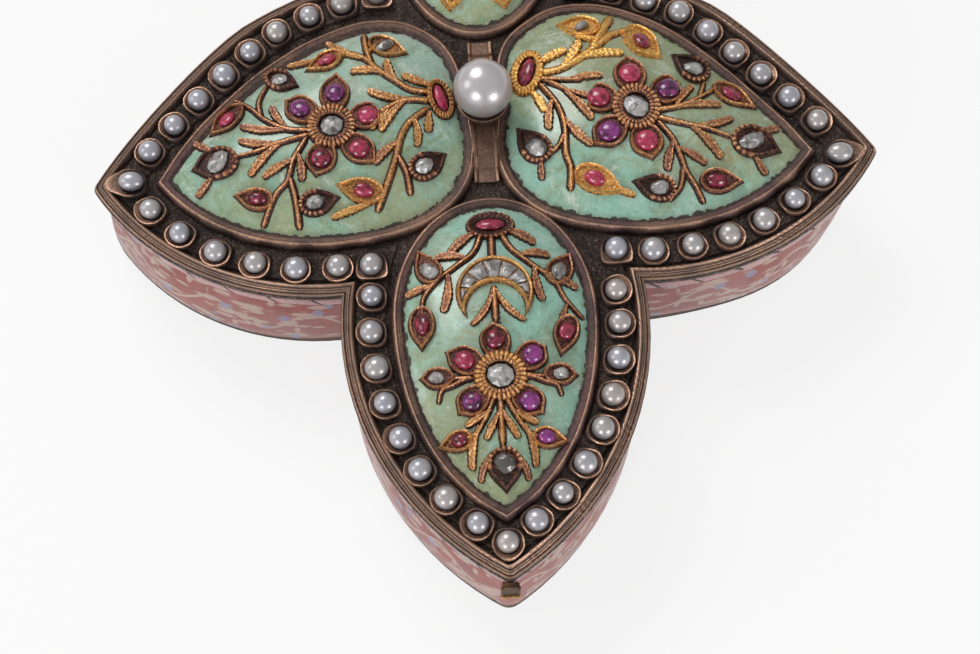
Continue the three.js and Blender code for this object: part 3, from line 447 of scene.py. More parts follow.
class Paint:
    """A material made of nodes"""

    def __init__(self, name):
        self.material = bpy.data.materials.new(name)
        self.material.use_nodes = True
        self.tree = self.material.node_tree
        self.tree.nodes.clear()
        self.place = None

    def node(self, kind, settings=None, sockets=None):
        """Adds a node with its settings, then fills its sockets with values or links"""
        node = self.tree.nodes.new(kind)
        for name, setting in (settings or {}).items():
            setattr(node, name, setting)
        for name, filling in (sockets or {}).items():
            socket = node.inputs[name]
            if isinstance(filling, Value):
                filling = filling.socket
            if isinstance(filling, bpy.types.NodeSocket):
                self.tree.links.new(filling, socket)
            elif hasattr(socket.default_value, "__len__") and len(filling) < len(socket.default_value):
                socket.default_value = (*filling, 1)
            else:
                socket.default_value = filling
        return node

    def value(self, kind, settings=None, sockets=None, out=0):
        """A node's output as a number to reckon with"""
        return Value(self, self.node(kind, settings, sockets).outputs[out])

    def math(self, operation, *inputs, clamp=False):
        settings = {"operation": operation, "use_clamp": clamp}
        return self.value("ShaderNodeMath", settings, dict(enumerate(inputs)))

    def mapped(self, vector, scale, turn=(0, 0, 0)):
        """A vector stretched and turned"""
        return self.node("ShaderNodeMapping", None, {"Vector": vector, "Scale": scale,
            "Rotation": turn}).outputs[0]

    def coordinates(self, scale=(1, 1, 1), turn=(0, 0, 0)):
        """Places on the piece in millimetres, stretched and turned"""
        if self.place is None:
            self.place = self.node("ShaderNodeTexCoord").outputs["Object"]
        return self.mapped(self.place, [s / MM for s in scale], turn)

    def unrolled(self):
        """The piece's own map in millimetres: along its outline, and up"""
        return self.node("ShaderNodeUVMap", {"uv_map": "UVMap"}).outputs[0]

    def noise(self, scale, detail=3, rough=0.55, where=None, distortion=0):
        """Noise whose scale counts its waves to a millimetre"""
        sockets = {"Vector": where or self.coordinates(), "Scale": scale, "Detail": detail,
            "Roughness": rough, "Distortion": distortion}
        return self.value("ShaderNodeTexNoise", None, sockets)

    def cells(self, scale, where=None, out="Distance", randomness=1):
        """Distance from the middles of rounded cells, or another output of theirs"""
        sockets = {"Vector": where or self.coordinates(), "Scale": scale, "Randomness": randomness}
        return self.value("ShaderNodeTexVoronoi", None, sockets, out)

    def attribute(self, name):
        return self.value("ShaderNodeAttribute", {"attribute_name": name}, None, "Fac")

    def split(self, vector):
        """The three numbers of a vector"""
        return [Value(self, part) for part in self.node("ShaderNodeSeparateXYZ", None, {0: vector}).outputs]

    def mix(self, factor, a, b):
        return self.node("ShaderNodeMix", {"data_type": "RGBA"}, {0: factor, 6: a, 7: b}).outputs[2]

    def over(self, base, *coats):
        """A base colour under coats, each with its factor and its colour"""
        for factor, coat in coats:
            base = self.mix(factor, base, coat)
        return base

    def bump(self, height, strength, distance):
        sockets = {"Height": height, "Strength": strength, "Distance": distance * MM}
        return self.node("ShaderNodeBump", None, sockets).outputs[0]

    def surface(self, base, roughness, metallic=0, normal=None, **fixed):
        """The finished shader; fixed sockets are named with underscores for spaces"""
        sockets = {"Base Color": base, "Roughness": roughness, "Metallic": metallic}
        if normal is not None:
            sockets["Normal"] = normal
        sockets.update({name.replace("_", " "): setting for name, setting in fixed.items()})
        shader = self.node("ShaderNodeBsdfPrincipled", None, sockets)
        self.node("ShaderNodeOutputMaterial", None, {"Surface": shader.outputs[0]})
        return self.material


def shaded(base, *factors):
    """A colour times one factor, or times one for each channel"""
    return [min(c * factor, 1) for c, factor in zip(base, factors if len(factors) > 1 else factors * 3)]


made = {}


def finish_of(name, maker, *settings):
    """A material that is made once and shared"""
    if name not in made:
        made[name] = maker(name, *settings)
    return made[name]


def worn_metal(name, crest, recess, roughness):
    """Metal that is bright on its crests and dark in its recesses, with fine scratches"""
    paint = Paint(name)
    patches = paint.noise(0.35, 4)
    fine = paint.noise(2.2, 5, 0.65)
    shine = (paint.attribute("relief") + (patches - 0.5) * 0.35 + (fine - 0.5) * 0.25).step(0.3, 1)
    rubbed = paint.mix(fine.step(0.3, 0.75), shaded(crest, 0.72), shaded(crest, 1.18))
    rough = 0.34 - shine * 0.3 + roughness + (patches - 0.5) * 0.2
    normal = paint.bump(fine * 0.6 + paint.noise(7.7, 2) * 0.4, 0.5, 0.12)
    return paint.surface(paint.mix(shine, recess, rubbed), rough.clamp(), 0.35 + shine * 0.6, normal)


def granulated(name, ground, crest):
    """Dark ground that is cut and stippled all over, rubbed bright in places, with painted glints as bright
    specks
    """
    paint = Paint(name)
    beads = 1 - (paint.cells(2.6) * 1.3).clamp()
    fine = paint.noise(3.4, 5, 0.7)
    dust = paint.noise(0.4, 5, 0.7)
    cuts = paint.noise(1, 3, 0.6, where=paint.coordinates((4.5, 0.7, 1), (0, 0, 0.7)))
    crossing = paint.noise(1, 3, 0.6, where=paint.coordinates((0.6, 4, 1), (0, 0, -0.3)))
    lines = (cuts - 0.5).size().least((crossing - 0.5).size() * 1.4)
    scratch = 1 - lines.step(0, 0.045)
    worn = (beads * 0.5 + (dust - 0.5) * 2.2 + (fine - 0.5) * 2.6 + scratch * 0.25).step(0.18, 1)
    # the last coat is painted glints: bright specks where the fine noise peaks
    base = paint.over(ground, (worn, crest), (scratch * (dust * 3 - 0.9).clamp() * 0.8, crest),
        ((fine - 0.57).step(0, 0.08) * 0.7, shaded(crest, 1.6)))
    normal = paint.bump(beads * 0.6 + fine * 0.8 - scratch * 0.5, 1, 0.3)
    return paint.surface(base, 0.6 - worn * 0.22, 0.25 + worn * 0.5, normal)


def banded_copper(name, crest, recess):
    """Purplish brown slope below a ridge that is rubbed bright in a broken line"""
    paint = Paint(name)
    relief = paint.attribute("relief")
    patches = paint.noise(0.16, 4, 0.65)
    fine = paint.noise(2.2, 5, 0.7)
    worn = relief + (patches - 0.5) * 1.1 + (fine - 0.5) * 0.7
    areas = paint.noise(0.055, 3, 0.6)
    slope = paint.over((0.095, 0.06, 0.055), (patches.step(0.35, 0.65), (0.27, 0.155, 0.11)),
        ((areas - 0.5).step(0, 0.1) * 0.65, (0.135, 0.065, 0.075)),
        ((0.46 - areas).step(0, 0.08) * 0.5, (0.31, 0.165, 0.105)))
    rubbed = worn.step(0.62, 1.12)
    base = paint.over(recess, ((relief + (fine - 0.5) * 0.9).step(0.06, 0.6), slope),
        (rubbed, shaded(crest, 1.25)))
    normal = paint.bump(fine + patches * 0.6, 0.65, 0.16)
    return paint.surface(base, 0.48 - rubbed * 0.18, 0.45 + rubbed * 0.45, normal)


def mint_stone(name, middle, blue, drift, paling):
    """Polished mottled stone: how blue it is, and how it turns bluer and paler across the panel"""
    paint = Paint(name)
    tone = colours()
    x, y = paint.split(paint.coordinates())[:2]
    x, y = x - middle.x, y - middle.y
    clouds = paint.noise(0.1, 4, 0.6, distortion=0.8)
    blotch = paint.noise(0.34, 5, 0.7, distortion=0.9)
    grain = paint.noise(1.5, 5, 0.75, distortion=0.4)
    fine = paint.noise(5, 3)
    hue = ((clouds - 0.5) * 2.4 + (blue - 0.5) * 1.4 + 0.5 + (blotch - 0.5) * 2.4 + x * drift[0]
        + y * drift[1]).clamp()
    pale = ((blotch - 0.5).step(0, 0.2) * 0.45 + x * paling[0] + y * paling[1]).clamp()
    rust = (paint.noise(0.42, 6, 0.75, distortion=0.6) - 0.6).step(0, 0.07)
    chalk = (paint.noise(0.22, 7, 0.8, distortion=0.5) - 0.57).step(0, 0.06)
    edge = paint.attribute("relief")
    ragged = edge + (paint.noise(0.8, 2, 0.6) - 0.5) * 1.5 + (grain - 0.5) * 0.4
    # a ragged near-black band just inside the stone's edge, along the collar
    edge_darkening = 1 - ragged.step(0.17, 0.3)
    # painted shade: the stone darkens towards its edge, under the collar
    shade = 1 - (edge + (clouds - 0.5) * 0.5).step(0, 1)
    base = paint.over(
        tone.stone_olive, (hue, tone.stone_blue), (0.25, tone.stone), (pale, (0.62, 0.72, 0.62)),
        ((0.46 - blotch).step(0, 0.12) * 0.5, (0.17, 0.31, 0.18)),
        ((0.47 - grain).step(0, 0.16) * 0.42, (0.16, 0.25, 0.15)),
        ((grain - 0.55).step(0, 0.14) * 0.42, (0.68, 0.78, 0.7)),
        ((fine - 0.57).step(0, 0.12) * 0.25, (0.14, 0.17, 0.1)),
        (rust * 0.6, (0.4, 0.25, 0.11)), (chalk * 0.6, (0.72, 0.76, 0.68)),
        (shade * 0.4, (0.14, 0.15, 0.07)), (edge_darkening * 0.95, (0.028, 0.019, 0.014)))
    normal = paint.bump(grain * 0.5 + paint.cells(0.9) * 0.3 + blotch * 0.6 + edge_darkening * -0.7, 0.35, 0.1)
    rough = 0.22 + (grain - 0.5) * 0.3 + edge_darkening * 0.35
    return paint.surface(base, rough.clamp(), 0, normal, Coat_Weight=0.35, Coat_Roughness=0.12)


def cabochon(name, body):
    """Clear red stone with a few flaws inside, painted bright where they catch light, and painted patches of
    inner light
    """
    paint = Paint(name)
    flaws = paint.noise(1.3, 4, 0.6)
    glow = paint.noise(0.9, 3, 0.5)
    tint = paint.attribute("tint")
    bright = (min(body[0] * 1.5, 1), body[1] + 0.035, min(body[2] * 2.2, 1))
    # the flaws are painted in a bright pinkish red that stands for light caught inside the stone as well as
    # the flaws; glow adds painted bright magenta patches of inner light
    base = paint.over(shaded(body, 0.18), ((flaws * 2.8 - 0.95 + (tint - 0.5) * 0.7).clamp(), bright),
        ((glow - 0.6).step(0, 0.1) * 0.35, (0.75, 0.1, 0.28)))
    normal = paint.bump(flaws, 0.45, 0.1)
    return paint.surface(base, 0.2, 0, normal, Specular_IOR_Level=0.6, Coat_Weight=0.55, Coat_Roughness=0.12)


def rose_cut(name, light, shade):
    """Clear faceted stone over foil, with painted reflections: its facets are painted light and dark"""
    paint = Paint(name)
    facets = paint.split(paint.cells(1.3, out="Color"))[0]
    cracks = paint.noise(1.8, 5, 0.7)
    tint = paint.attribute("tint")
    # painted reflections: facet cells mix the stone between its dark and light colours, with its cracks and
    # tint
    base = paint.mix((facets * 0.8 + (cracks - 0.5) * 1.6 + tint * 0.35 - 0.05).clamp(), shade, light)
    return paint.surface(base, 0.24, 0.1, paint.bump(facets, 0.2, 0.1), Specular_IOR_Level=0.7,
        Coat_Weight=0.45, Coat_Roughness=0.12)


def nacre(name, cool, warm, scale=1, depth=0.75):
    """Pearl, from cool grey to cream, with a satin sheen and painted shade towards its seat"""
    paint = Paint(name)
    tint = paint.attribute("tint")
    lift = paint.attribute("relief")
    clouds = paint.noise(0.5 * scale, 3)
    orient = paint.noise(0.9 * scale, 3, distortion=0.6)
    # painted shade: the lower part of the pearl is darkened, as strong as depth says, so its sides look
    # shaded from above
    shade = 1 - (lift + (clouds - 0.5) * 0.2).step(0.36, 1)
    base = paint.over(cool, ((tint * 0.95 + (clouds - 0.5) * 0.7).clamp(), warm),
        ((orient - 0.47).step(0, 0.2) * 0.4, shaded(cool, 0.74, 0.78, 0.88)),
        ((0.47 - orient).step(0, 0.16) * 0.4, (0.66, 0.6, 0.62)),
        (shade * depth, shaded(cool, 0.28, 0.26, 0.27)))
    normal = paint.bump(orient, 0.3, 0.12)
    rough = 0.33 + (clouds - 0.5) * 0.16
    return paint.surface(base, rough, 0.4, normal, Specular_IOR_Level=0.8, Coat_Weight=0.5,
        Coat_Roughness=0.16)


# Stone panels: the same outlines and domes as in the frame

PANEL_TIP_SETBACK = 7.8
SIDE_TIP_SETBACK = 8.8
FRONT_PANEL_START = 11.4
BACK_PANEL_START = 13.3
SIDE_PANEL_START = (2.3, 1.9)
SIDE_HALF_WIDTH = 14.8
PANEL_REACH = 5.85
FRONT_MARGIN = 0.75
BACK_MARGIN = 1.3
LONG_ROUND = 16
SIDE_ROUND = 14.6
LONG_POWER = 2
SIDE_POWER = 2.5
LONG_DOME = 3.6
SIDE_DOME = 4.2
UNDER_COLLAR = 0.1
FAR_OFF = 100
STONE_EDGE = 0.9
DOME_POWER = 2.6
CROWN_OFFSET = 2
TIP_FULLNESS = (0.68, 0.18)
FLANK_FULLNESS = 0.42
EDGE_STEPS = 34
ROUND_STEPS = 44
REACH_STEPS = 720

# The back half of each side panel, fuller than the front one: places along and across it, in millimetres
BACK_HALVES = {
    "right": ((36.8, 3.4), (33, 6.4), (27.4, 10.6), (21.3, 14.3), (16.3, 16.25), (10.4, 17.15),
              (4.9, 15.95), (1.3, 13), (-0.9, 9.5), (-1.2, 5)),
    "left": ((36.8, 3.7), (32.5, 7.3), (26.1, 11.4), (21.8, 13.45), (17.1, 15.1), (10.5, 16.1), (5.7, 15.1),
             (2.6, 12.9), (0.3, 9.6), (-0.5, 5)),
}
HALF_STEPS = 9
WIDENING = {"left": 0.5}

# The sprays are drawn as they look from this eye on a level sheet, and slid down the line of sight
EYE = Vector((-4.3, -122.6, 238.4))
SHEET_HEIGHT = 18.9
SIGHT_ROUNDS = 4


class Panel:
    """Outline, middle and domed face of one stone panel, in millimetres"""

    def __init__(self, side):
        low, high = span("lid_plate")
        widest, power, dome = LONG_ROUND, LONG_POWER, LONG_DOME
        if side == "front":
            inner, tip = Vector((0, -FRONT_PANEL_START)), Vector((0, low.y + PANEL_TIP_SETBACK))
            half = mm("front_corner_x") - PANEL_REACH - FRONT_MARGIN
        elif side == "back":
            inner, tip = Vector((0, BACK_PANEL_START)), Vector((0, high.y - PANEL_TIP_SETBACK))
            half = mm("back_corner_x") - PANEL_REACH - BACK_MARGIN
        else:
            hand = 1 if side == "right" else -1
            inner = Vector((hand * SIDE_PANEL_START[0], SIDE_PANEL_START[1]))
            tip = Vector((hand * (high.x - SIDE_TIP_SETBACK), -mm("side_forward")))
            half, widest, power, dome = SIDE_HALF_WIDTH, SIDE_ROUND, SIDE_POWER, SIDE_DOME
        self.side = side
        self.ground = high.z
        self.along = (tip - inner).normalized()
        self.across = Vector((-self.along.y, self.along.x))
        self.inner = inner
        self.rise = dome - STONE_EDGE
        self.edge = self.outline((tip - inner).length, half, widest, power)
        count = len(self.edge)
        swell = WIDENING.get(side, 0)
        self.band = [mm("band_width") * (1 + swell * max(math.sin(2 * math.pi * (i / count - 0.5)), 0))
            for i in range(count)]
        self.stone = inset(self.edge, [width - UNDER_COLLAR for width in self.band])
        self.middle = inner + self.along * (widest + CROWN_OFFSET)
        self.reach = self.reaches()

    def outline(self, full, half, widest, power):
        """Pointed at the tip, rounded at the inner end"""
        taper = full - widest
        knots = [(full, 0), (full - taper * TIP_FULLNESS[1], half * TIP_FULLNESS[0]),
            (full - taper * (1 - FLANK_FULLNESS), half), (widest, half)]
        edge = bezier([Vector(knot) for knot in knots], EDGE_STEPS)
        for i in range(1, ROUND_STEPS + 1):
            angle = math.pi / 2 * i / ROUND_STEPS
            u = widest * (1 - math.sin(angle) ** (2 / power))
            edge.append(Vector((u, half * math.cos(angle) ** (2 / power) if i < ROUND_STEPS else 0)))
        other = edge
        if self.side in BACK_HALVES:
            knots = [Vector(p) for p in ((full, 0), *BACK_HALVES[self.side], (0, 0))]
            other = smooth_path(knots, HALF_STEPS)
            if self.side == "right":
                edge, other = other, edge
        whole = edge + [Vector((p.x, -p.y)) for p in reversed(other[1:-1])]
        return [self.inner + self.along * p.x + self.across * p.y for p in whole]

    def reaches(self):
        """Distance from the middle to the stone's edge in every direction"""
        table = []
        count = len(self.stone)
        for step in range(REACH_STEPS):
            angle = 2 * math.pi * step / REACH_STEPS
            far = self.middle + Vector((math.cos(angle), math.sin(angle))) * FAR_OFF
            best = 0
            for i, p in enumerate(self.stone):
                hit = geometry.intersect_line_line_2d(self.middle, far, p, self.stone[(i + 1) % count])
                if hit:
                    best = max(best, (hit - self.middle).length)
            table.append(best)
        return table

    def share(self, point):
        """How far a point lies from the middle, as a share of the way to the edge"""
        way = point - self.middle
        turn = (math.atan2(way.y, way.x) / (2 * math.pi)) % 1 * REACH_STEPS
        i = int(turn) % REACH_STEPS
        reach = self.reach[i] + (self.reach[(i + 1) % REACH_STEPS] - self.reach[i]) * (turn - int(turn))
        return min(way.length / reach, 1)

    def dome(self, share):
        return self.ground + STONE_EDGE + self.rise * (1 - share ** DOME_POWER)

    def height(self, point):
        return self.dome(self.share(point))

    def lay(self, point):
        """The place on the stone that a point of the drawing covers, seen from the eye"""
        place = point
        for _ in range(SIGHT_ROUNDS):
            slide = (self.height(place) - SHEET_HEIGHT) / (EYE.z - SHEET_HEIGHT)
            place = point + (EYE.xy - point) * slide
        return place


DOME_SHARES = (1, 0.985, 0.96, 0.92, 0.87, 0.81, 0.74, 0.66, 0.57, 0.47, 0.37, 0.27, 0.17, 0.08)
STONE_FOOT = 0.2
LEAST_SHARE = 0.05


def build_stone(panel):
    """Domed stone; relief says how many millimetres a point lies from the edge, up to 1"""
    bm = new_mesh()
    foot = at_height(panel.stone, panel.ground + STONE_FOOT)
    rings = [foot] + [at_height([panel.middle.lerp(p, s) for p in panel.stone], panel.dome(s))
        for s in DOME_SHARES]
    sweep(bm, rings, cap_start=True)
    crown = panel.middle.to_3d()
    crown.z = panel.dome(0)
    row, relief = layer(bm, "row"), layer(bm, "relief")
    bmesh.ops.pointmerge(bm, verts=[v for v in bm.verts if v[row] == len(rings) - 1], merge_co=crown)
    for vert in bm.verts:
        flat = vert.co.xy
        share = panel.share(flat)
        vert[relief] = min((1 - share) * (flat - panel.middle).length / max(share, LEAST_SHARE), 1)
    return bm


# Lines across a panel collar: reach from the panel's edge, share of the height, and wear
COLLAR_SECTION = ((-0.6, 0, 0), (-0.56, 0.34, 0.2), (-0.38, 0.7, 0.4), (-0.14, 0.96, 0.9), (0, 1, 1.15),
    (0.11, 0.96, 0.7), (0.24, 0.88, 0.26), (0.36, 0.88, 0.58), (0.48, 0.85, 0.24), (0.6, 0.85, 0.48),
    (0.74, 0.82, 0.22))
COLLAR_INNER = ((0, 0.74, 0.18), (0.06, 0, 0))
RAGGED = 0.32
RAGGED_WAVES = 1.4


def build_collar(panel):
    """Collar with a ridge outside, a slope towards the stone and a ragged inner edge"""
    bm = new_mesh()
    top = span("panel_collar_" + panel.side)[1].z
    tall = top - panel.ground
    rings = [at_height(inset(panel.edge, reach), panel.ground + tall * share)
        for reach, share, _ in COLLAR_SECTION]
    for past, share, _ in COLLAR_INNER:
        ragged = [width + past + RAGGED * noise.noise(Vector((p.x, p.y, 3)) * RAGGED_WAVES)
            for p, width in zip(panel.edge, panel.band)]
        rings.append(at_height(inset(panel.edge, ragged), panel.ground + tall * share))
    sweep(bm, rings + rings[:1])
    shade_rows(bm, [line[2] for line in COLLAR_SECTION + COLLAR_INNER])
    return bm


# Gold work: drawn flat, with z as the height over the stone, then laid on the dome

STEM_HEIGHT = 0.58
LEAF_HEIGHT = 0.62
BEZEL_HEIGHT = 0.85
BEZEL_WALL = 0.3
FOOT = -0.12
# Width, inner share and rise of the thin near-black sheet round the foot of all the gold: a painted dark
# outline that stands for the shade and the grime where gold meets stone
SHADE_AND_GRIME_EDGING = 0.17
SHADE_AND_GRIME_EDGING_INNER = 0.8
SHADE_AND_GRIME_EDGING_RISE = 0.07
SHALLOW_END = 0.45
LOW_END = 0.5
CURVE_POINTS = 10
NOTCH_DEPTH = 0.16
STEM_SHARE = 0.8
LEAF_SHARE = 0.8
LEAF_ENDS = (0.93, 0.97, 1)
LEAF_CAP = (0.95, 0.75, 0.35)
LEAF_STALK = 0.4
LEAF_WIDEST = 0.55
LEAF_SWELL = 1.2
LEAF_TAPER = 0.3
TOOTH = (0, 0.5, 1)
END_TOOTH = 0.6

# Points across a stem and a leaf: share of the half width, share of the height, and wear
STEM_SECTION = ((-1, 0.35, 0.12), (-0.6, 0.74, 0.36), (-0.2, 1, 1.1), (0.2, 1, 1.1), (0.6, 0.74, 0.36),
    (1, 0.35, 0.12))
LEAF_SECTION = ((-1, 0.4, 0.18), (-0.8, 0.92, 1), (-0.28, 0.86, 0.62), (0.28, 0.86, 0.62), (0.8, 0.92, 1),
    (1, 0.4, 0.18))
TOOTH_PITCH = 0.72
WALL_SHADES = (0, 0.1, 0.3, 0.66, 1.1, 0.66, 0.36)
SEAT_FLOOR = 0.3
MILLED_WALL = 0.42
NOTCH_WEAR = 0.75

# Across the face of a milled ring: share of the way in, drop, further drop in a notch, and wear
NOTCH = (1, 0.25, 0, 0.25)
MILLED_FACE = ((0.14, 0, 0.34, 1.15), (0.44, 0.05, 0.2, 0.95), (0.58, 0.18, 0.05, 0.45),
    (0.7, 0.08, 0.14, 0.85), (0.9, 0.16, 0.08, 0.5), (1, 0.34, 0, 0))
MILLED_WELL = ((0.12, 0, 0.3, 1), (0.3, 0.14, 0.18, 0.42), (0.65, 0.32, 0.12, 0.22), (1, 0.5, 0, 0))


# How far the knots of a drop reach, as shares: at its tip, along and aside; at its flank; at its back
DROP_TIP = (0.34, 0.42)
DROP_FLANK = 0.85
DROP_BACK = (0.6, 0.55)


def drop_outline(centre, tip, radius, back):
    """A drop round a stone: pointed at the tip, rounded or drawn out at the back"""
    way = (tip - centre).normalized()
    side = left_of(way)
    far = (tip - centre).length
    rear = centre - way * back
    outline = []
    for hand in (1, -1):
        flank = centre + side * (radius * hand)
        out = [tip, tip - way * (far * DROP_TIP[0]) + side * (radius * hand * DROP_TIP[1]),
            flank + way * (radius * DROP_FLANK), flank]
        home = [flank, flank - way * (back * DROP_BACK[0]), rear + side * (radius * hand * DROP_BACK[1]),
            rear]
        outline.append(bezier(out, CURVE_POINTS)[:-1] + bezier(home, CURVE_POINTS)[:-1] + [rear])
    left, right = outline
    return left + right[-2:0:-1]


ROSE_SIDES = 9


def shade_and_grime_edging(outline):
    """Two rings of the thin near-black sheet round the gold's foot: a painted dark outline of shade and grime
    """
    return [at_height(inset(outline, -SHADE_AND_GRIME_EDGING), FOOT), at_height(inset(outline, -SHADE_AND_GRIME_EDGING * SHADE_AND_GRIME_EDGING_INNER),
        SHADE_AND_GRIME_EDGING_RISE)]


class Goldwork:
    """Collects the gold and the stones of one spray"""

    def __init__(self, panel):
        self.panel = panel
        self.gold = new_mesh()
        self.stones = {kind: new_mesh() for kind in ("ruby", "purple", "diamond")}
        self.bright = 0
        self.squeeze = 1
        self.hand = 1
        self.random = random.Random(panel.side)

    def at(self, point):
        """A point of the drawing, on the hand's side of the middle line"""
        return Vector((self.hand * point[0], point[1]))

    def grow(self, rings, shade):
        """Sweeps the gold through the rings; shade gives the wear at a row and a place in it"""
        before = len(self.gold.verts)
        sweep(self.gold, rings, cap_end=True)
        tint, relief, row, place = [layer(self.gold, name) for name in ("tint", "relief", "row", "place")]
        for vert in points_after(self.gold, before):
            vert[tint] = self.bright
            vert[relief] = shade(vert[row], vert[place])

    def stem(self, *points, width=0.95, end=0.6):
        """A ridged wire through the points, edged with the painted dark outline, that thins towards its end
        """
        path = smooth_path([self.at(p) for p in points])
        rings = []
        last = len(path) - 1
        for i, spot in enumerate(path):
            side = left_of(path[min(i + 1, last)] - path[max(i - 1, 0)])
            at_end = i in (0, last)
            half = STEM_SHARE * width / 2 * (1 + (end - 1) * i / last) * (SHALLOW_END if at_end else 1)
            lift = STEM_HEIGHT * (LOW_END if at_end else 1)
            rings.append(self.section(spot, side, half, lift, STEM_SECTION))
        self.shade_strip(rings, STEM_SECTION)

    def shade_strip(self, rings, section):
        wear = [0, 0, *(w for _, _, w in section), 0, 0]
        self.grow(rings, lambda row, place: wear[place])

    def section(self, spot, side, half, lift, crown):
        """Points across a wire or leaf, with the painted dark outline on both sides"""
        # the two outer points on each side are the painted dark outline of shade and grime
        skirt = ((half + SHADE_AND_GRIME_EDGING, FOOT), (half + SHADE_AND_GRIME_EDGING * SHADE_AND_GRIME_EDGING_INNER, SHADE_AND_GRIME_EDGING_RISE))
        line = [(-u, z) for u, z in skirt] + [(half * u, lift * z) for u, z, _ in crown] + [*reversed(skirt)]
        return [Vector((*(spot + side * u), z)) for u, z in line]

    def leaf(self, root, tip, width=1.5, bend=0):
        """A flat leaf with a saw-toothed edge that widens from its stalk to a blunt end"""
        root = self.at(root)
        way = self.at(tip) - root
        side = left_of(way)
        teeth = max(round(way.length / TOOTH_PITCH), 3)
        steps = teeth * len(TOOTH)
        shares = [LEAF_ENDS[0] * k / steps for k in range(steps)] + list(LEAF_ENDS)
        rings = []
        for k, t in enumerate(shares):
            spot = root + way * t + side * (self.hand * bend * math.sin(math.pi * t))
            swell = LEAF_STALK + (1 - LEAF_STALK) * min(t / LEAF_WIDEST, 1) ** LEAF_SWELL
            swell -= LEAF_TAPER * max(t - LEAF_WIDEST, 0) / (1 - LEAF_WIDEST)
            cut = TOOTH[k % len(TOOTH)]
            if t >= LEAF_ENDS[0]:
                swell *= LEAF_CAP[LEAF_ENDS.index(t)]
                cut = END_TOOTH
            half = 0.5 * LEAF_SHARE * width * swell * (0.8 + 0.24 * cut) * self.random.uniform(0.95, 1.05)
            lift = LEAF_HEIGHT * (0.82 + 0.18 * math.sin(math.pi * t)) * (0.86 + 0.14 * cut)
            rings.append(self.section(spot, side, half, lift, LEAF_SECTION))
        self.shade_strip(rings, LEAF_SECTION)

    def walls(self, outline, height=BEZEL_HEIGHT, wall=BEZEL_WALL, notches=None):
        """An upright wall round a seat, edged with the painted dark outline; notches say how far each point
        is cut
        """
        cuts = notches or [0] * len(outline)
        pushed = inset(outline, [-NOTCH_DEPTH * (1 - cut) if notches else 0 for cut in cuts])
        crest = [Vector((p.x, p.y, height - 0.3 * cut)) for p, cut in zip(inset(pushed, wall * 0.45), cuts)]
        rings = [*shade_and_grime_edging(outline), at_height(outline, 0.16), at_height(inset(pushed, 0.04), height - 0.24),
            crest, at_height(inset(outline, wall), height - 0.14),
            at_height(inset(outline, wall + 0.14), SEAT_FLOOR)]
        self.grow(rings, lambda row, place: WALL_SHADES[row] * (1 - NOTCH_WEAR * cuts[place]))

    def milled_ring(self, centre, long, short, turn, inner_long, inner_short, teeth=30, well=False):
        """A broad ring whose face is notched like the edge of a coin; a well slopes down to its stone"""
        notch = NOTCH * teeth
        outer, inner = [ellipse(centre, *size, turn, len(notch)) for size in ((long, short),
            (inner_long, inner_short))]
        top = BEZEL_HEIGHT + 0.12
        cut_in = [o.lerp(n, 0.16 * k) for o, n, k in zip(outer, inner, notch)]
        # the ring stands on the painted dark outline of shade and grime
        rings = [*shade_and_grime_edging(outer), at_height(cut_in, 0.12)]
        wear = [0, 0, 0.15]
        for share, drop, cut, shine in ((0, 0.22, 0.2, 0.7), *(MILLED_WELL if well else MILLED_FACE)):
            face = [o.lerp(n, share) for o, n in zip(cut_in, inner)]
            rings.append([Vector((p.x, p.y, top - drop - cut * k)) for p, k in zip(face, notch)])
            wear.append(shine)
        rings.append(at_height(inner, 0.25))
        wear.append(0)
        self.grow(rings, lambda row, place: wear[row] * (1 - NOTCH_WEAR * notch[place]))

    def stone(self, kind, centre, long, short, turn=0, seat=0.38, height=0.72, dark=0):
        """A cabochon, or a low faceted stone where the kind is diamond"""
        if kind == "diamond":
            outline = ellipse(centre, long, short, turn + self.random.uniform(0, 1), ROSE_SIDES)
            self.rose([centre + (p - centre) * self.random.uniform(0.9, 1.05) for p in outline], seat, height,
                dark)
            return
        bm = self.stones[kind]
        place = Matrix.Translation((centre.x, centre.y, seat)) @ Matrix.Rotation(turn, 4, "Z")
        place = place @ Matrix.Diagonal((long, short, height, 1))
        verts = bmesh.ops.create_uvsphere(bm, u_segments=18, v_segments=12, radius=1, matrix=place)["verts"]
        tint = layer(bm, "tint")
        shade = self.random.random()
        for vert in verts:
            vert[tint] = shade
            if vert.co.z < seat:
                vert.co.z = seat + (vert.co.z - seat) * 0.35

    def rose(self, outline, seat, height, dark=0):
        """A low stone with two rows of facets and a small table"""
        bm = self.stones["diamond"]
        count = len(outline)
        middle = sum(outline, Vector((0, 0))) / count
        top = middle + Vector((self.random.uniform(-0.12, 0.12), self.random.uniform(-0.12, 0.12)))
        between = [outline[i].lerp(outline[(i + 1) % count], 0.5) for i in range(count)]
        waist = [top.lerp(p, self.random.uniform(0.6, 0.72)) for p in between]
        table = [top.lerp(p, self.random.uniform(0.22, 0.34)) for p in outline]
        before = len(bm.verts)
        sweep(bm, [at_height(outline, seat - 0.25), at_height(outline, seat + height * 0.25),
            at_height(waist, seat + height * 0.78), at_height(table, seat + height)], cap_end=True)
        tint = layer(bm, "tint")
        shade = self.random.random() - dark
        for vert in points_after(bm, before):
            vert[tint] = shade

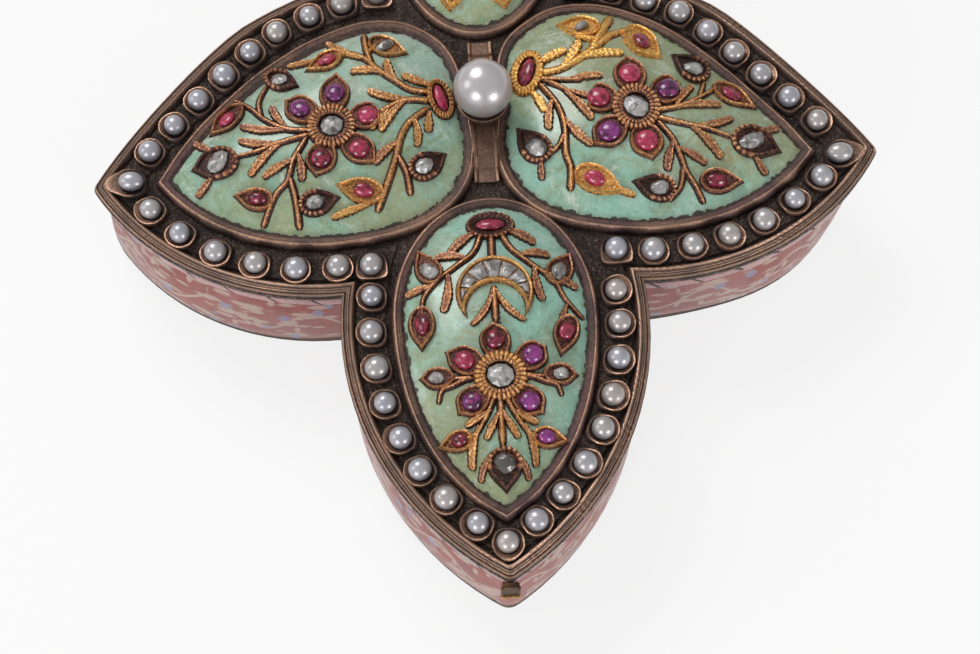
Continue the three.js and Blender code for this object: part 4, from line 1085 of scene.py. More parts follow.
    def bud(self, kind, centre, tip, radius=1.35, back=1.5, long=0.85, short=0.62, milled=False, dark=0):
        """A pointed setting with its stone; the diamonds' settings are notched at the back"""
        centre, tip = self.at(centre), self.at(tip)
        turn = math.atan2(tip.y - centre.y, tip.x - centre.x)
        outline = drop_outline(centre, tip, radius, back)
        notches = None
        if milled:
            way = (tip - centre).normalized()
            notches = [float(i % 2 or (p - centre).dot(way) > radius * 0.35) for i, p in enumerate(outline)]
        self.walls(outline, notches=notches, wall=MILLED_WALL if milled else BEZEL_WALL)
        self.stone(kind, centre, long, short, turn, dark=dark)

    def petal(self, flower, angle, reach, kind, size):
        """A pointed petal that carries a round stone"""
        way = Vector((math.cos(angle), math.sin(angle)))
        seat = flower + way * (3.55 + size * 0.95)
        self.walls(drop_outline(seat, flower + way * reach, size + 0.56, 2.5), height=0.78)
        self.stone(kind, seat + way * 0.05, size, size * 0.96, angle, seat=0.34, height=0.85)

    def flower(self, centre, petals, ring=(3, 3), gem=(1.55, 1.45), size=1.32, glow=0.1):
        """Five petals round a milled ring with a rose-cut stone"""
        centre = Vector(centre)
        for degrees, reach, kind in petals:
            self.petal(centre, math.radians(degrees), reach, kind, size)
        self.bright = glow
        self.milled_ring(centre, *[r + 0.15 for r in ring], math.pi / 2, gem[0] + 0.15, gem[1] + 0.15)
        self.stone("diamond", centre, gem[0], gem[1], math.pi / 2, seat=0.42, height=0.75)
        self.bright = 0

    def oval(self, centre, long, short, degrees, stone_long, stone_short, well=False):
        """A long ruby in a ring with a notched face"""
        centre = Vector(centre)
        turn = math.radians(degrees)
        self.milled_ring(centre, long, short, turn, stone_long + 0.12, stone_short + 0.12, teeth=26,
            well=well)
        self.stone("ruby", centre, stone_long, stone_short, turn, seat=0.35, height=0.78)

    def finish(self, nodes, lone_nodes):
        """Lays everything on the dome and makes the pieces"""
        side = self.panel.side
        for bm in [self.gold, *self.stones.values()]:
            for vert in bm.verts:
                drawn = vert.co.xy
                if drawn.y > 0:
                    drawn.y *= self.squeeze
                spot = self.panel.lay(drawn)
                vert.co = Vector((spot.x, spot.y, self.panel.height(spot) + vert.co.z))
        gold = finish_of("spray gold", gilt)
        finish_piece("gold_work_" + side, self.gold, gold, nodes)
        tone = colours()
        kinds = {
            "ruby": ("rubies_", finish_of("ruby", cabochon, tone.ruby), "ruby", True),
            "purple": ("purple_rubies_", finish_of("purple ruby", cabochon, tone.purple_ruby), "ruby", True),
            "diamond": ("diamonds_", finish_of("rose cut", rose_cut, tone.diamond, tone.diamond_shade),
                        "diamond", False),
        }
        for kind, (name, paint, slot, smooth) in kinds.items():
            bm = self.stones[kind]
            if len(bm.verts):
                finish_piece(name + side, bm, paint, lone_nodes.get(kind, ()), smooth=smooth)
            else:
                bm.free()


def gilt(name):
    """Stippled gold with painted glints, whose tint runs from coppery to bright, reddish on its flanks and
    dark at its foot, where the painted dark outline stands for shade and grime
    """
    paint = Paint(name)
    tone = colours()
    patches = paint.noise(0.5, 4)
    areas = paint.noise(0.16, 3, 0.6)
    fine = paint.noise(2.8, 4, 0.65)
    grains = paint.cells(3)
    glints_and_pits = paint.noise(4.2, 2, 0.6)
    bright = (paint.attribute("tint") + (areas - 0.5) * 0.9).clamp()
    worn = paint.attribute("relief") + (patches - 0.5) * 0.65 + (fine - 0.5) * 0.75 - (grains - 0.35) * 0.6
    crest = paint.mix(bright, tone.gold, tone.bright_gold)
    flank = paint.mix(bright, shaded(tone.gold, 0.28, 0.22, 0.34), shaded(tone.bright_gold, 0.62, 0.5, 0.45))
    shine = (worn + bright * 0.4).step(0.34, 1.05)
    # painted glints: bright dots on the shining gold where the fine spotty noise peaks; where it dips, dark
    # pits
    base = paint.over(tone.gold_recess, ((worn + bright * 0.3).step(0.02, 0.42), flank), (shine, crest),
        ((glints_and_pits - 0.55).step(0, 0.08) * shine * 0.7, (1, 0.76, 0.52)),
        ((0.43 - glints_and_pits).step(0, 0.08) * 0.55, (tone.gold[0] * 0.16, tone.gold[1] * 0.11, 0.02)))
    normal = paint.bump(fine * 0.5 - grains * 0.7 + glints_and_pits * 0.4, 0.85, 0.14)
    rough = 0.48 - shine * 0.14 + (patches - 0.5) * 0.2
    return paint.surface(base, rough.clamp(), 0.35 + shine * 0.4, normal)


def draw_front(work):
    """Oval, calyx, crescent and flower, with a sprig and a dark tip stone below"""
    work.oval((0, -15.75), 3, 1.8, 0, 1.9, 0.8, well=True)
    work.stem((0, -16.8), (0, -20.6), width=1.1, end=1)
    work.leaf((-1.6, -16.4), (-5.4, -19.5), 1.6, -0.3)
    work.leaf((1.6, -16.3), (5.5, -18.5), 1.6, 0.3)
    work.stem((-1.2, -16.8), (-2.3, -19.3), (-4.4, -21), (-7, -23), (-8.7, -25.2), (-9, -27.4))
    work.stem((1.2, -16.8), (2.4, -19), (4.6, -21.1), (7.4, -23.6), (8.8, -26.4), (10.8, -29.2))
    work.leaf((-2.9, -20.2), (-7.1, -19.9), 1.5, -0.4)
    work.leaf((3.2, -20), (7.2, -20.3), 1.5, 0.4)
    work.leaf((-5.6, -22.2), (-6.4, -27.3), 1.5, 0.3)
    work.leaf((5.2, -21.6), (6, -26.4), 1.5, -0.3)
    work.leaf((6.6, -22.8), (10.4, -25), 1.4, 0.2)
    work.leaf((-7.4, -23.6), (-11, -25), 1.3, -0.2)
    work.leaf((8.9, -27), (8, -29.4), 1)
    work.bud("diamond", (-7.9, -21.7), (-9.3, -18.8), 1.65, 1.8, 1.25, 1.05)
    work.bud("diamond", (8.2, -22.6), (9.8, -20.2), 1.7, 1.8, 1.2, 1)
    work.bud("ruby", (-9.1, -28.9), (-9.2, -32.2), 1.6, 2.5, 1.45, 0.88)
    work.bud("ruby", (8.6, -30.7), (7.7, -33.8), 1.55, 2.3, 1.15, 1)
    draw_crescent(work, Vector((0.1, -24.85)))
    petals = [(95, 7.2, "ruby"), (152, 7.4, "ruby"), (32, 6.8, "purple"), (221, 7.1, "purple"),
        (314, 7.1, "purple")]
    work.flower((0.2, -36.1), petals, (3.1, 3.1), (1.65, 1.65), size=1.3, glow=0.4)
    for work.hand, droop in ((-1, 0), (1, 0.25)):
        work.stem((3.1, -36.2), (5.8, -36.1 - droop), width=1.1)
        work.bud("diamond", (7.6, -36 - droop), (9.6, -36 - 2 * droop), 1.4, 2.2, 0.98, 0.82)
        work.stem((3.4, -35.9), (5.6, -37), (7, -37.6), (7.5, -39.3 + droop))
        work.bright = 0.3
        work.stem((0.6, -38.4), (1.6, -40.8), (3, -43.4), width=1)
        work.leaf((2.7, -42.4), (3.8, -48), 1.35, 0.4)
        work.leaf((1.2, -40.4), (4.4, -42.4), 1.3)
        work.leaf((0.2, -40.6), (2, -44.2), 1.2)
        work.bright = 0
        work.leaf((1.3, -45.8), (2.9, -49.6), 1.1, 0.3)
    work.hand = 1
    work.bright = 0.3
    work.stem((-3, -43.4), (-4.4, -44), width=0.9)
    work.stem((3, -43.4), (4.4, -44.2), width=0.9)
    work.bud("ruby", (-5.2, -44.2), (-7.8, -45), 1.35, 1.7, 1, 0.88)
    work.bud("purple", (5.3, -44.3), (7.9, -45), 1.35, 1.7, 1.05, 0.92)
    work.stem((0, -38.4), (0, -45.4), width=1.05, end=0.9)
    work.bright = 0
    work.bud("diamond", (0.1, -47.3), (0.1, -50.9), 2.05, 2, 1.45, 1.25, milled=True, dark=2.4)


# The crescent: its radius, its bite's radius and how far that lies below; the joints of its stones in degrees
CRESCENT = (4.75, 3.75, 2.35)
CRESCENT_JOINTS = (-27, -8, 14, 43, 74, 109, 143, 172, 196, 210)
CRESCENT_MARGIN = 0.44


def draw_crescent(work, centre):
    """A crescent with its horns down, filled with diamonds, and a sprout inside it"""
    outer, bite, shift = CRESCENT
    meeting = (bite ** 2 - outer ** 2 - shift ** 2) / (2 * shift)
    horn = math.asin(meeting / outer)
    inner_horn = math.asin((meeting + shift) / bite)
    loop = []
    for i in range(EDGE_STEPS + 1):
        angle = horn + (math.pi - 2 * horn) * i / EDGE_STEPS
        loop.append(centre + Vector((math.cos(angle), math.sin(angle))) * outer)
    for i in range(1, EDGE_STEPS):
        angle = math.pi - inner_horn - (math.pi - 2 * inner_horn) * i / EDGE_STEPS
        loop.append(centre + Vector((math.cos(angle), math.sin(angle))) * bite - Vector((0, shift)))
    work.bright = 0.5
    work.walls(loop, height=0.9, wall=0.36)
    draw = work.random.uniform
    for low, high in zip(CRESCENT_JOINTS, CRESCENT_JOINTS[1:]):
        low, high = low + draw(0.8, 3), high - draw(0.8, 3)
        outline = []
        for bow, degrees in ((0, low), (0, (low + high) / 2), (0, high), (1, high), (1, (low + high) / 2),
                (1, low)):
            way = Vector((math.cos(math.radians(degrees)), math.sin(math.radians(degrees))))
            inner = -way.y * shift + math.sqrt(bite ** 2 - (way.x * shift) ** 2) + CRESCENT_MARGIN
            far = max(outer - CRESCENT_MARGIN - draw(0, 0.22), inner + 0.1)
            outline.append(centre + way * (inner + draw(0, 0.25) if bow else far))
        work.rose(outline, 0.42, 0.45)
    work.bright = 0.15
    work.stem((0, -24), (0, -29), width=1.1, end=0.9)
    work.leaf((-0.1, -24.4), (-3, -29.2), 1.15, 0.5)
    work.leaf((0.1, -24.4), (3.7, -28.9), 1.15, -0.5)
    work.bright = 0


def draw_left(work):
    """Stems from the oval by the middle, a flower, and stems from it to the tip"""
    work.bright = 0.42
    work.oval((-5.4, 2.7), 2.95, 1.6, 105, 2.1, 0.78)
    work.leaf((-6.2, 4.6), (-10.3, 6.6), 1.5)
    work.leaf((-7, 1), (-7.2, -2), 1.5)
    work.bright = 0.34
    work.stem((-6.6, 3.8), (-9.2, 4.4), (-11.4, 6), (-13.6, 7.8), (-15, 9.3), (-17, 10.2), (-18.6, 9.9),
        width=1.1, end=0.8)
    work.leaf((-11, 5.6), (-12.3, 9), 1.6, 0.3)
    work.leaf((-12.6, 7), (-17, 7.5), 1.5, -0.4)
    work.leaf((-15.6, 9.4), (-20, 11.9), 1.5, 0.2)
    work.bud("ruby", (-20, 9.3), (-22.8, 7.9), 1.3, 2.2, 1.3, 0.7)
    work.leaf((-21, 9.5), (-25.2, 8.6), 1.2)
    work.stem((-6.6, 2.6), (-9.8, 2.9), (-12, 2.1), (-13.9, 0.9), width=1.1)
    work.leaf((-9.2, 2.9), (-14.8, 4.5), 1.6, 0.3)
    work.leaf((-10.2, 2.7), (-13.4, -1.5), 1.7, -0.3)
    work.leaf((-12.2, 1.8), (-14.6, -1.2), 1.3)
    work.bright = 0.3
    work.stem((-7, 1.6), (-9.6, -0.4), (-10.8, -2.6), (-11.4, -5.1), (-12.6, -8.9), (-14.1, -13.1), width=1.1,
        end=1)
    work.leaf((-9, 0.1), (-8.7, -4), 1.4, 0.3)
    work.stem((-14.2, 8.4), (-14.8, 10.6), (-15.1, 13), width=1, end=1)
    work.stem((-14.7, 10.2), (-13.4, 11.2), width=0.9)
    work.bud("diamond", (-12.3, 11), (-9.5, 9.8), 1.4, 2.4, 1.4, 0.7)
    work.bright = 0.05
    work.leaf((-10.8, -2.9), (-14.3, -6.2), 1.7, -0.3)
    work.stem((-11.3, -5), (-10.2, -7.7), (-9.8, -10.9), width=1, end=1)
    work.bud("diamond", (-7.9, -7), (-5.1, -5.3), 1.9, 2, 1.3, 1.1, milled=True)
    work.bright = 0.6
    work.bud("ruby", (-15.7, -10), (-19.1, -8.9), 1.75, 2.7, 1.4, 1)
    work.leaf((-14.6, -11.6), (-19.9, -13.6), 1.4)
    work.bright = 0.05
    petals = [(84, 7.9, "purple"), (145, 7.2, "purple"), (16, 6.7, "ruby"), (315, 7.9, "ruby"),
        (253, 7.4, "ruby")]
    work.flower((-19.6, -0.5), petals, (3, 3), (1.5, 1.5), size=1.36)
    work.stem((-22.3, -0.9), (-25.5, -0.5), (-28.2, 1), (-30, 2.7), (-32.1, 4), width=1.05)
    work.leaf((-25.4, -0.4), (-27.4, 2.9), 1.4, 0.2)
    work.leaf((-25.6, -0.6), (-31.4, 0.2), 1.5, 0.3)
    work.stem((-28.7, 1.3), (-28.9, 3.6), (-27.8, 6))
    work.bud("diamond", (-26.2, 6.7), (-23.8, 5.7), 1.5, 2, 1.1, 0.8, milled=True)
    work.bud("ruby", (-33, 1.2), (-35.2, -1), 1.35, 2.8, 1.25, 0.75)
    work.stem((-22.3, -1.4), (-26.4, -2.5), (-29.3, -3.6), (-32.4, -4.3), width=1.05)
    work.leaf((-26.4, -2.5), (-31.6, -1.9), 1.6, 0.3)
    work.leaf((-26.2, -2.5), (-30.2, -7.1), 1.6, -0.3)
    draw_tip_stone(work, (-34.2, -5), (-37.5, -5.9), ((-34.8, -3.4), (-37.3, -2)),
        ((-34.8, -6.8), (-36.8, -9.8)))
    work.stem((-22.8, -1.8), (-24.6, -5.1), (-25.3, -7.9), (-26.8, -9.8), (-27.7, -12), (-28.5, -14.5),
        end=0.95)
    work.leaf((-24.4, -4.9), (-28.5, -7.4), 1.5, -0.2)
    work.leaf((-24, -4.2), (-23.5, -8.2), 1.4, 0.2)
    work.stem((-25.1, -7.4), (-24.3, -11), (-23.9, -15), width=1, end=1.1)
    work.bud("ruby", (-29.2, -10.5), (-32.1, -9.8), 1.55, 2.1, 1.2, 0.88)
    work.bud("diamond", (-21.9, -11.4), (-18.8, -10.7), 1.8, 2, 1.2, 0.95, milled=True)


def draw_tip_stone(work, seat, tip, upper, lower):
    """A long diamond near the panel's tip, between two short sepals"""
    work.bud("diamond", seat, tip, 2.25, 2.6, 1.8, 1.1, milled=True)
    for sepal in (upper, lower):
        work.leaf(*sepal, 1.3)


BACK_SQUEEZE = 0.99


def draw_right(work):
    """Much like the left spray in a mirror, with the hand work's own differences"""
    work.squeeze = BACK_SQUEEZE
    work.bright = 1
    work.oval((5.9, 6), 3.4, 2.05, 72, 2.2, 0.95)
    work.leaf((7.2, 7), (11.2, 9.3), 1.6, 0.3)
    work.stem((7.4, 6), (10.1, 6.4), (12.3, 7.6), (15.1, 9.5), (17.2, 11.2), (20.8, 12.1), width=1.2, end=0.9)
    work.leaf((10.6, 6.8), (13.1, 10.6), 1.7, -0.2)
    work.leaf((12.8, 8), (18.7, 8.4), 1.6, 0.4)
    work.stem((14.6, 9.2), (15.8, 11.4), (17.5, 14), width=1.2, end=1.2)
    work.bud("diamond", (13.5, 12.7), (10.3, 13.1), 1.5, 2.5, 1.05, 0.65)
    work.leaf((15.6, 10.6), (12.6, 11.2), 1.1)
    work.bud("ruby", (21.2, 10), (23.5, 7.4), 1.8, 2.9, 1.35, 0.9)
    work.leaf((6.3, 3.4), (7.9, 0.2), 1.6, 0.2)
    work.bright = 0.2
    work.stem((7.2, 5.1), (10.8, 4.8), (13, 4.6), width=0.95)
    work.leaf((11.2, 4.8), (15.7, 5.2), 1.4, 0.2)
    work.stem((8.2, 4.8), (10.6, 3.4), (12.2, 1), width=0.95)
    work.leaf((10.8, 3), (14, -1.3), 1.6, 0.2)
    work.leaf((11, 3.2), (14.2, 2), 1.1)
    work.stem((7.4, 4.5), (9.5, 1.2), (10.3, -2), (10.2, -5.8), (10.7, -8.2), (10.4, -11.4), width=1, end=1.1)
    work.leaf((8.9, 1.8), (8.2, -2.5), 1.5, -0.2)
    work.leaf((10.2, -0.8), (13.7, -5.1), 1.6, -0.2)
    work.stem((10.2, -3.2), (9.4, -4.8), (8.2, -6), width=0.9)
    work.bright = 0
    work.bud("diamond", (6.5, -5.2), (4.2, -2.2), 2, 2, 1.45, 1.2, milled=True)
    work.leaf((6.9, -6.8), (6.9, -9.7), 1.1)
    work.bright = 0.8
    work.bud("ruby", (13.6, -9.9), (17.2, -12), 1.9, 2.8, 1.4, 1.08)
    work.leaf((15.8, -11.3), (18.6, -12.5), 1.2)
    work.bright = 0
    petals = [(95, 7.8, "ruby"), (30, 6.8, "purple"), (160, 6, "ruby"), (222, 7.8, "purple"),
        (281, 7.8, "ruby")]
    work.flower((19.7, 0.1), petals, (3.25, 3), (1.85, 1.5), size=1.52)
    work.bright = 0.25
    work.stem((22.2, -0.4), (25.1, 0), (27.9, 1.1), (30.6, 2.6), width=1)
    work.leaf((24.8, 0), (27.2, 2.9), 1.4, 0.2)
    work.leaf((25, -0.1), (30.6, -0.1), 1.5, 0.3)
    work.stem((28, 1.2), (28.8, 3.4), width=0.9)
    work.bright = 0
    work.bud("diamond", (27.6, 5.4), (25, 7.7), 1.75, 2.2, 1.3, 0.95, milled=True)
    work.bright = 0.3
    work.bud("ruby", (32.1, 1.3), (35, -0.9), 1.35, 2.7, 1.5, 0.82)
    work.bright = 0.15
    work.stem((22.2, -1.4), (25.8, -2.6), (28.9, -3.6), (31.6, -4.9), width=1.05)
    work.leaf((26.8, -3), (32, -2.1), 1.5, -0.3)
    work.leaf((26.6, -3), (30, -7.9), 1.6, 0.3)
    work.bright = 0
    draw_tip_stone(work, (34.1, -5.7), (37.6, -7.4), ((35, -4.3), (37.7, -4)), ((34.2, -7.8), (35.4, -10.6)))
    work.stem((22.2, -1.9), (23.9, -4.5), (24.8, -7.3), (25.3, -9.5), (26.3, -11.7), (27.1, -14.2), end=0.95)
    work.leaf((24.1, -5), (22.9, -9.3), 1.5, -0.2)
    work.leaf((24.5, -6), (28, -8.6), 1.4, 0.2)
    work.stem((25, -8.9), (24.4, -11.6), (22.8, -13.6), width=0.9)
    work.bud("diamond", (21.7, -11.7), (18.4, -10.5), 1.85, 2.1, 1.3, 1.02, milled=True)
    work.bud("ruby", (29, -11.1), (32.3, -11.4), 1.75, 2.1, 1.35, 1)


def draw_back(work):
    """Two purple stones at the inner end, a flower behind them and a tip stone"""
    work.bright = 1
    for work.hand in (-1, 1):
        work.stem((0.1, 22.6), (1.6, 21.8), (3, 20.8), width=0.9)
        work.bud("purple", (3.3, 18.9), (3.7, 16), 1.6, 2.4, 1.5, 0.9)
        work.leaf((1, 22), (0.5, 18.4), 1.3)
        work.leaf((4.2, 21), (6.3, 18.4), 1.3)
        work.stem((2.2, 30.6), (4.6, 28.4), (6.6, 25.4), width=0.9)
        work.leaf((4, 29), (3.6, 25.2), 1.4)
        work.leaf((5, 28.2), (8.4, 27.2), 1.3)
        work.bud("ruby", (7.1, 23.9), (7.5, 21.3), 1.35, 2, 1.1, 0.7)
        work.stem((2.6, 32.8), (5.2, 32.6), width=0.95)
        work.bud("diamond", (6.7, 32.5), (8.9, 32.6), 1.25, 1.8, 0.85, 0.6)
        work.stem((0.5, 35.6), (2.4, 38.6), (4.2, 41.2), width=0.9)
        work.leaf((2.2, 38.2), (2.4, 42.4), 1.3)
        work.leaf((3, 39.4), (6.2, 39.8), 1.2)
        work.bud("ruby", (4.8, 42.4), (5.4, 44.7), 1.2, 1.7, 0.85, 0.6)
    work.hand = 1
    work.stem((0, 30), (0, 21), width=0.95)
    work.stem((0, 35.4), (0, 45.6), width=0.95)
    work.bright = 0.4
    petals = [(90, 6.9, "ruby"), (152, 6.7, "purple"), (28, 6.7, "purple"), (222, 6.7, "ruby"),
        (318, 6.7, "ruby")]
    work.flower((0, 33), petals, (2.95, 2.95), (1.5, 1.5))
    work.bud("diamond", (0, 47.2), (0, 50.4), 1.7, 1.9, 1.3, 0.95, milled=True)


# Box body and lid

BASE_INSET = 1.22
WIRE_INSET = 1
WIRE_WIDTH = 0.8
RIM_INSET = 0.1
BEAD_STEPS = 6
BEAD_SHOULDER = 0.35
SLAB_EDGE = 0.12


def rounded(reach, width, low, high, fullness=0.5):
    """Section of a bead that stands on its foot"""
    points = [(reach, low)]
    for i in range(BEAD_STEPS + 1):
        angle = math.pi * i / BEAD_STEPS
        swell = abs(math.sin(angle)) ** fullness if 0 < i < BEAD_STEPS else 0
        rise = BEAD_SHOULDER + (1 - BEAD_SHOULDER) * swell
        points.append((reach + width * (0.5 - 0.5 * math.cos(angle)), low + (high - low) * rise))
    return points + [(reach + width, low)]


def build_slab(reach, low, high, arm=0.6, bulge=0):
    """A flat plate with softened edges"""
    bm = new_mesh()
    section = ((SLAB_EDGE, low), (0, low + SLAB_EDGE), (0, high - SLAB_EDGE), (SLAB_EDGE, high))
    rings = [at_height(soft_outline(reach + step, arm, bulge), z) for step, z in section]
    sweep(bm, rings, cap_start=True, cap_end=True)
    set_relief(bm, low, high)
    return bm


# Lines across the wall: share of its thickness, share of its height, and bulge of the flanks in millimetres
WALL_SECTION = ((0.12, 0, 0.42), (-0.04, 0.05, 0.58), (-0.14, 0.2, 0.64), (-0.18, 0.45, 0.62),
    (-0.14, 0.7, 0.46), (-0.02, 0.9, 0.18), (0.06, 1, 0), (1, 1, 0), (1, 0, 0.42))
FOOT_BULGE = 0.4
WALL_ARM = 1.4
SKIRT_ARM = 1.1
SKIRT_FLARE = 0.36
RIM_ARM = 0.6


# The foot of the box lies a little to the left of the lid on both side petals, forward at the front tip and
# further back beside the right front corner; the last two say where on that flank, as shares from the corner
LEAN = 1.15
FRONT_LEAN = 0.55
FRONT_POWER = 4
CORNER_LEAN = 1.1
LEAN_ABOVE = 0.3
CORNER_PLACE = 0.26
CORNER_REACH = 0.5


def lean(bm, low, high):
    """Moves the side petals' foot to the left, the front petal's forward and the right front flank's back"""
    front, half, corner = span("lid_plate")[0].y, span("lid_plate")[1].x, mm("front_corner_x")
    for vert in bm.verts:
        share = min(max((vert.co.z - low) / (high - low), 0), 1)
        amount = 1 - (1 - LEAN_ABOVE) * share
        vert.co.x -= LEAN * amount * min((vert.co.x / half) ** 2, 1)
        if vert.co.y < 0:
            along = (vert.co.x - corner) / (half - corner)
            off = min(abs(along - CORNER_PLACE) / CORNER_REACH, 1)
            vert.co.y += CORNER_LEAN * amount * math.cos(off * math.pi / 2) ** 2
            vert.co.y -= FRONT_LEAN * amount * min((vert.co.y / front) ** FRONT_POWER, 1)


def build_wall():
    """Enamelled wall with a slight swell and rounded tips"""
    low, high = span("box_wall")
    bm = new_mesh()
    width = mm("wall_thickness")
    profile = [(mm("wall_inset") + width * a, low.z + (high.z - low.z) * b, bulge)
        for a, b, bulge in WALL_SECTION]
    lid_band(bm, profile, WALL_ARM)
    unwrap(bm, soft_outline(mm("wall_inset"), WALL_ARM))
    lean(bm, low.z, high.z)
    return bm


# The wall's painting in millimetres: length, swing and level of the winding stem, and the heights of its
# bottom and top edges, towards which it darkens
STEM_WAVE = 13
STEM_SWING = 2.4
STEM_LEVEL = 6.8
ENAMEL_EDGES = (1, 12.8)


def painted_enamel(name):
    """Red-brown enamel with a winding stem, long cream leaves and blue-grey blossoms"""
    paint = Paint(name)
    tone = colours()
    where = paint.unrolled()
    along, up = paint.split(where)[:2]
    drift = (paint.noise(0.12, 2, where=where) - 0.5) * 2
    wave = (along * (2 * math.pi / STEM_WAVE)).sine() * STEM_SWING
    grain = paint.noise(2.2, 4)
    smear = (grain - 0.5) * 0.16
    cream = 1 - (up - STEM_LEVEL - wave + drift).size().step(0.22, 0.42)
    for scale, turn, size in (((0.2, 0.62, 1), 0.35, 0.3), ((0.24, 0.7, 1), -0.45, 0.27),
            ((0.55, 0.26, 1), 0.2, 0.22)):
        laid = paint.mapped(where, scale, (0, 0, turn))
        cream = cream.most(1 - (paint.cells(1, laid) + smear).step(size - 0.07, size + 0.09))
    blossom = 1 - (paint.cells(0.27, where, randomness=0.7) + smear * 0.5).step(0.2, 0.27)
    rosy = [(red + pink) / 2 for red, pink in zip(tone.enamel, tone.skirt)]
    pale = paint.mix(grain, shaded(tone.enamel_cream, 0.66), tone.enamel_cream)
    edge = (up - ENAMEL_EDGES[0]).least(ENAMEL_EDGES[1] - up)
    # the enamel darkens to near black towards its bottom and top edges
    edge_darkening = 1 - (edge + (grain - 0.5) * 0.5).step(0.05, 0.7)
    base = paint.over(shaded(tone.enamel, 0.6), ((paint.noise(0.35, 4, where=where) * 1.4 - 0.2).clamp(),
        shaded(tone.enamel, 1.4)), ((paint.noise(0.06, 3, where=where) - 0.45).step(0, 0.15) * 0.8, rosy),
        (cream * (0.88 - (grain - 0.4).clamp() * 1.2), pale), (blossom * 0.85, tone.enamel_blue),
        (edge_darkening * 0.85, (0.03, 0.018, 0.014)))
    normal = paint.bump(grain * 0.4 + cream * 0.3, 0.3, 0.1)
    rough = 0.34 + (grain - 0.5) * 0.2 + edge_darkening * 0.3
    return paint.surface(base, rough, 0, normal, Specular_IOR_Level=0.35)


TILE = 5.5


def tiled_enamel(name):
    """Pink enamel in slanting tiles with dark metal between them"""
    paint = Paint(name)
    tone = colours()
    where = paint.unrolled()
    along, up = paint.split(where)[:2]
    grain = paint.noise(1.6, 4)
    run = (along + up * 0.9 + (paint.noise(0.25, 2, where=where) - 0.5) * 1.5) / TILE
    gap = (run.fraction() - 0.5).size()
    metal = (gap + (grain - 0.5) * 0.05).step(0.435, 0.47)
    shade = paint.noise(0.13, 1, where=where)
    base = paint.over(shaded(tone.skirt, 0.8), ((shade * 1.6 - 0.3).clamp(), shaded(tone.skirt, 1.3)),
        ((grain - 0.5).clamp() * 1.2, (0.62, 0.5, 0.5)), (metal * 0.95, tone.bronze))
    rough = 0.3 + metal * 0.25 + (grain - 0.5) * 0.2
    normal = paint.bump(1 - metal + grain * 0.15, 0.5, 0.15)
    return paint.surface(base, rough.clamp(), 0, normal, Specular_IOR_Level=0.35)


def hatched_metal(name, crest, recess):
    """Worn metal with fine lines along the outline and cuts across it"""
    paint = Paint(name)
    relief = paint.attribute("relief")
    where = paint.unrolled()
    along, up = paint.split(where)[:2]
    patches = paint.noise(0.22, 4)
    fine = paint.noise(2.6, 5, 0.7)
    drawn = paint.noise(1, 3, 0.6, where=paint.mapped(where, (0.25, 7, 1)))
    cut = ((along * 1.15 + up * 1.6).fraction() - 0.5).size() * 2
    depth = (patches - 0.48).step(0, 0.16)
    worn = relief + (patches - 0.5) * 0.7 + (fine - 0.5) * 0.8 + (drawn - 0.5) * 0.6
    worn = worn - (1 - cut) * depth * 0.3
    shine = worn.step(0.05, 1)
    base = paint.mix(shine, recess, paint.mix(patches.step(0.3, 0.7), shaded(crest, 0.72, 0.8, 0.86), crest))
    normal = paint.bump(cut * depth * 0.6 + fine * 0.4 + drawn * 0.5, 0.6, 0.16)
    return paint.surface(base, 0.6 - shine * 0.24, 0.3 + shine * 0.55, normal)


# Lines across the rim: reach in millimetres, share of its height, and wear
RIM_SECTION = ((0, 0, 0.1), (0, 0.22, 0.5), (0.06, 0.4, 1), (0.18, 0.46, 0.95), (0.28, 0.4, 0.35),
    (0.34, 0.3, 0.05), (0.42, 0.42, 0.55), (0.52, 0.52, 0.75), (0.6, 0.5, 0.3), (0.66, 0.52, 0.2),
    (0.74, 0.64, 0.75), (0.84, 0.68, 0.65), (0.92, 0.62, 0.15), (1, 0.72, 0.4), (1.1, 0.92, 0.8), (1.2, 1, 1),
    (1.32, 0.98, 0.8), (1.44, 0.86, 0.45), (1.6, 0.5, 0.25), (1.85, 0, 0))


def build_rim():
    """Moulding with fine reeds and a ridge inside them"""
    low, high = span("lid_rim")
    bm = new_mesh()
    profile = [(RIM_INSET + reach, low.z + (high.z - low.z) * share) for reach, share, _ in RIM_SECTION]
    lid_band(bm, profile, RIM_ARM)
    unwrap(bm, soft_outline(0, RIM_ARM))
    shade_rows(bm, [line[2] for line in RIM_SECTION])
    return bm


# Pearl borders

BED_HEIGHT = 0.34
BED_DIP = 0.1
LIP_HEIGHT = 1
PEARL_LIFT = 1.12
PEARL_SQUASH = 0.93
SIDE_TIP_PEARL = (1.22, 0.95, 0.9)

# The pearls, by flank: how many intervals it has, how far its pearls lie along the track in intervals at its
# start and end, how far its first pearl lies aside, and how deep its track runs in, over which part of it
INTERVALS = (9, 7, 9, 9, 9, 9, 7, 9)
NUDGE_STEPS = 20
NUDGES = {0: (-0.1, -0.26), 1: (0.25, -0.08), 2: (0.03, 0.02), 5: (0, -0.06), 7: (0.12, 0.12)}
STOP_SHIFTS = {1: (1.5, -0.3), 2: (-0.7, -1), 6: (0.6, -0.15), 7: (-0.9, -0.8)}
DRAWN_IN = {0: (-0.42, SAG_SHARE), 2: (0.4, SAG_SHARE), 5: (0.25, SAG_SHARE), 6: (-0.6, 1),
    7: (-0.5, SAG_SHARE)}


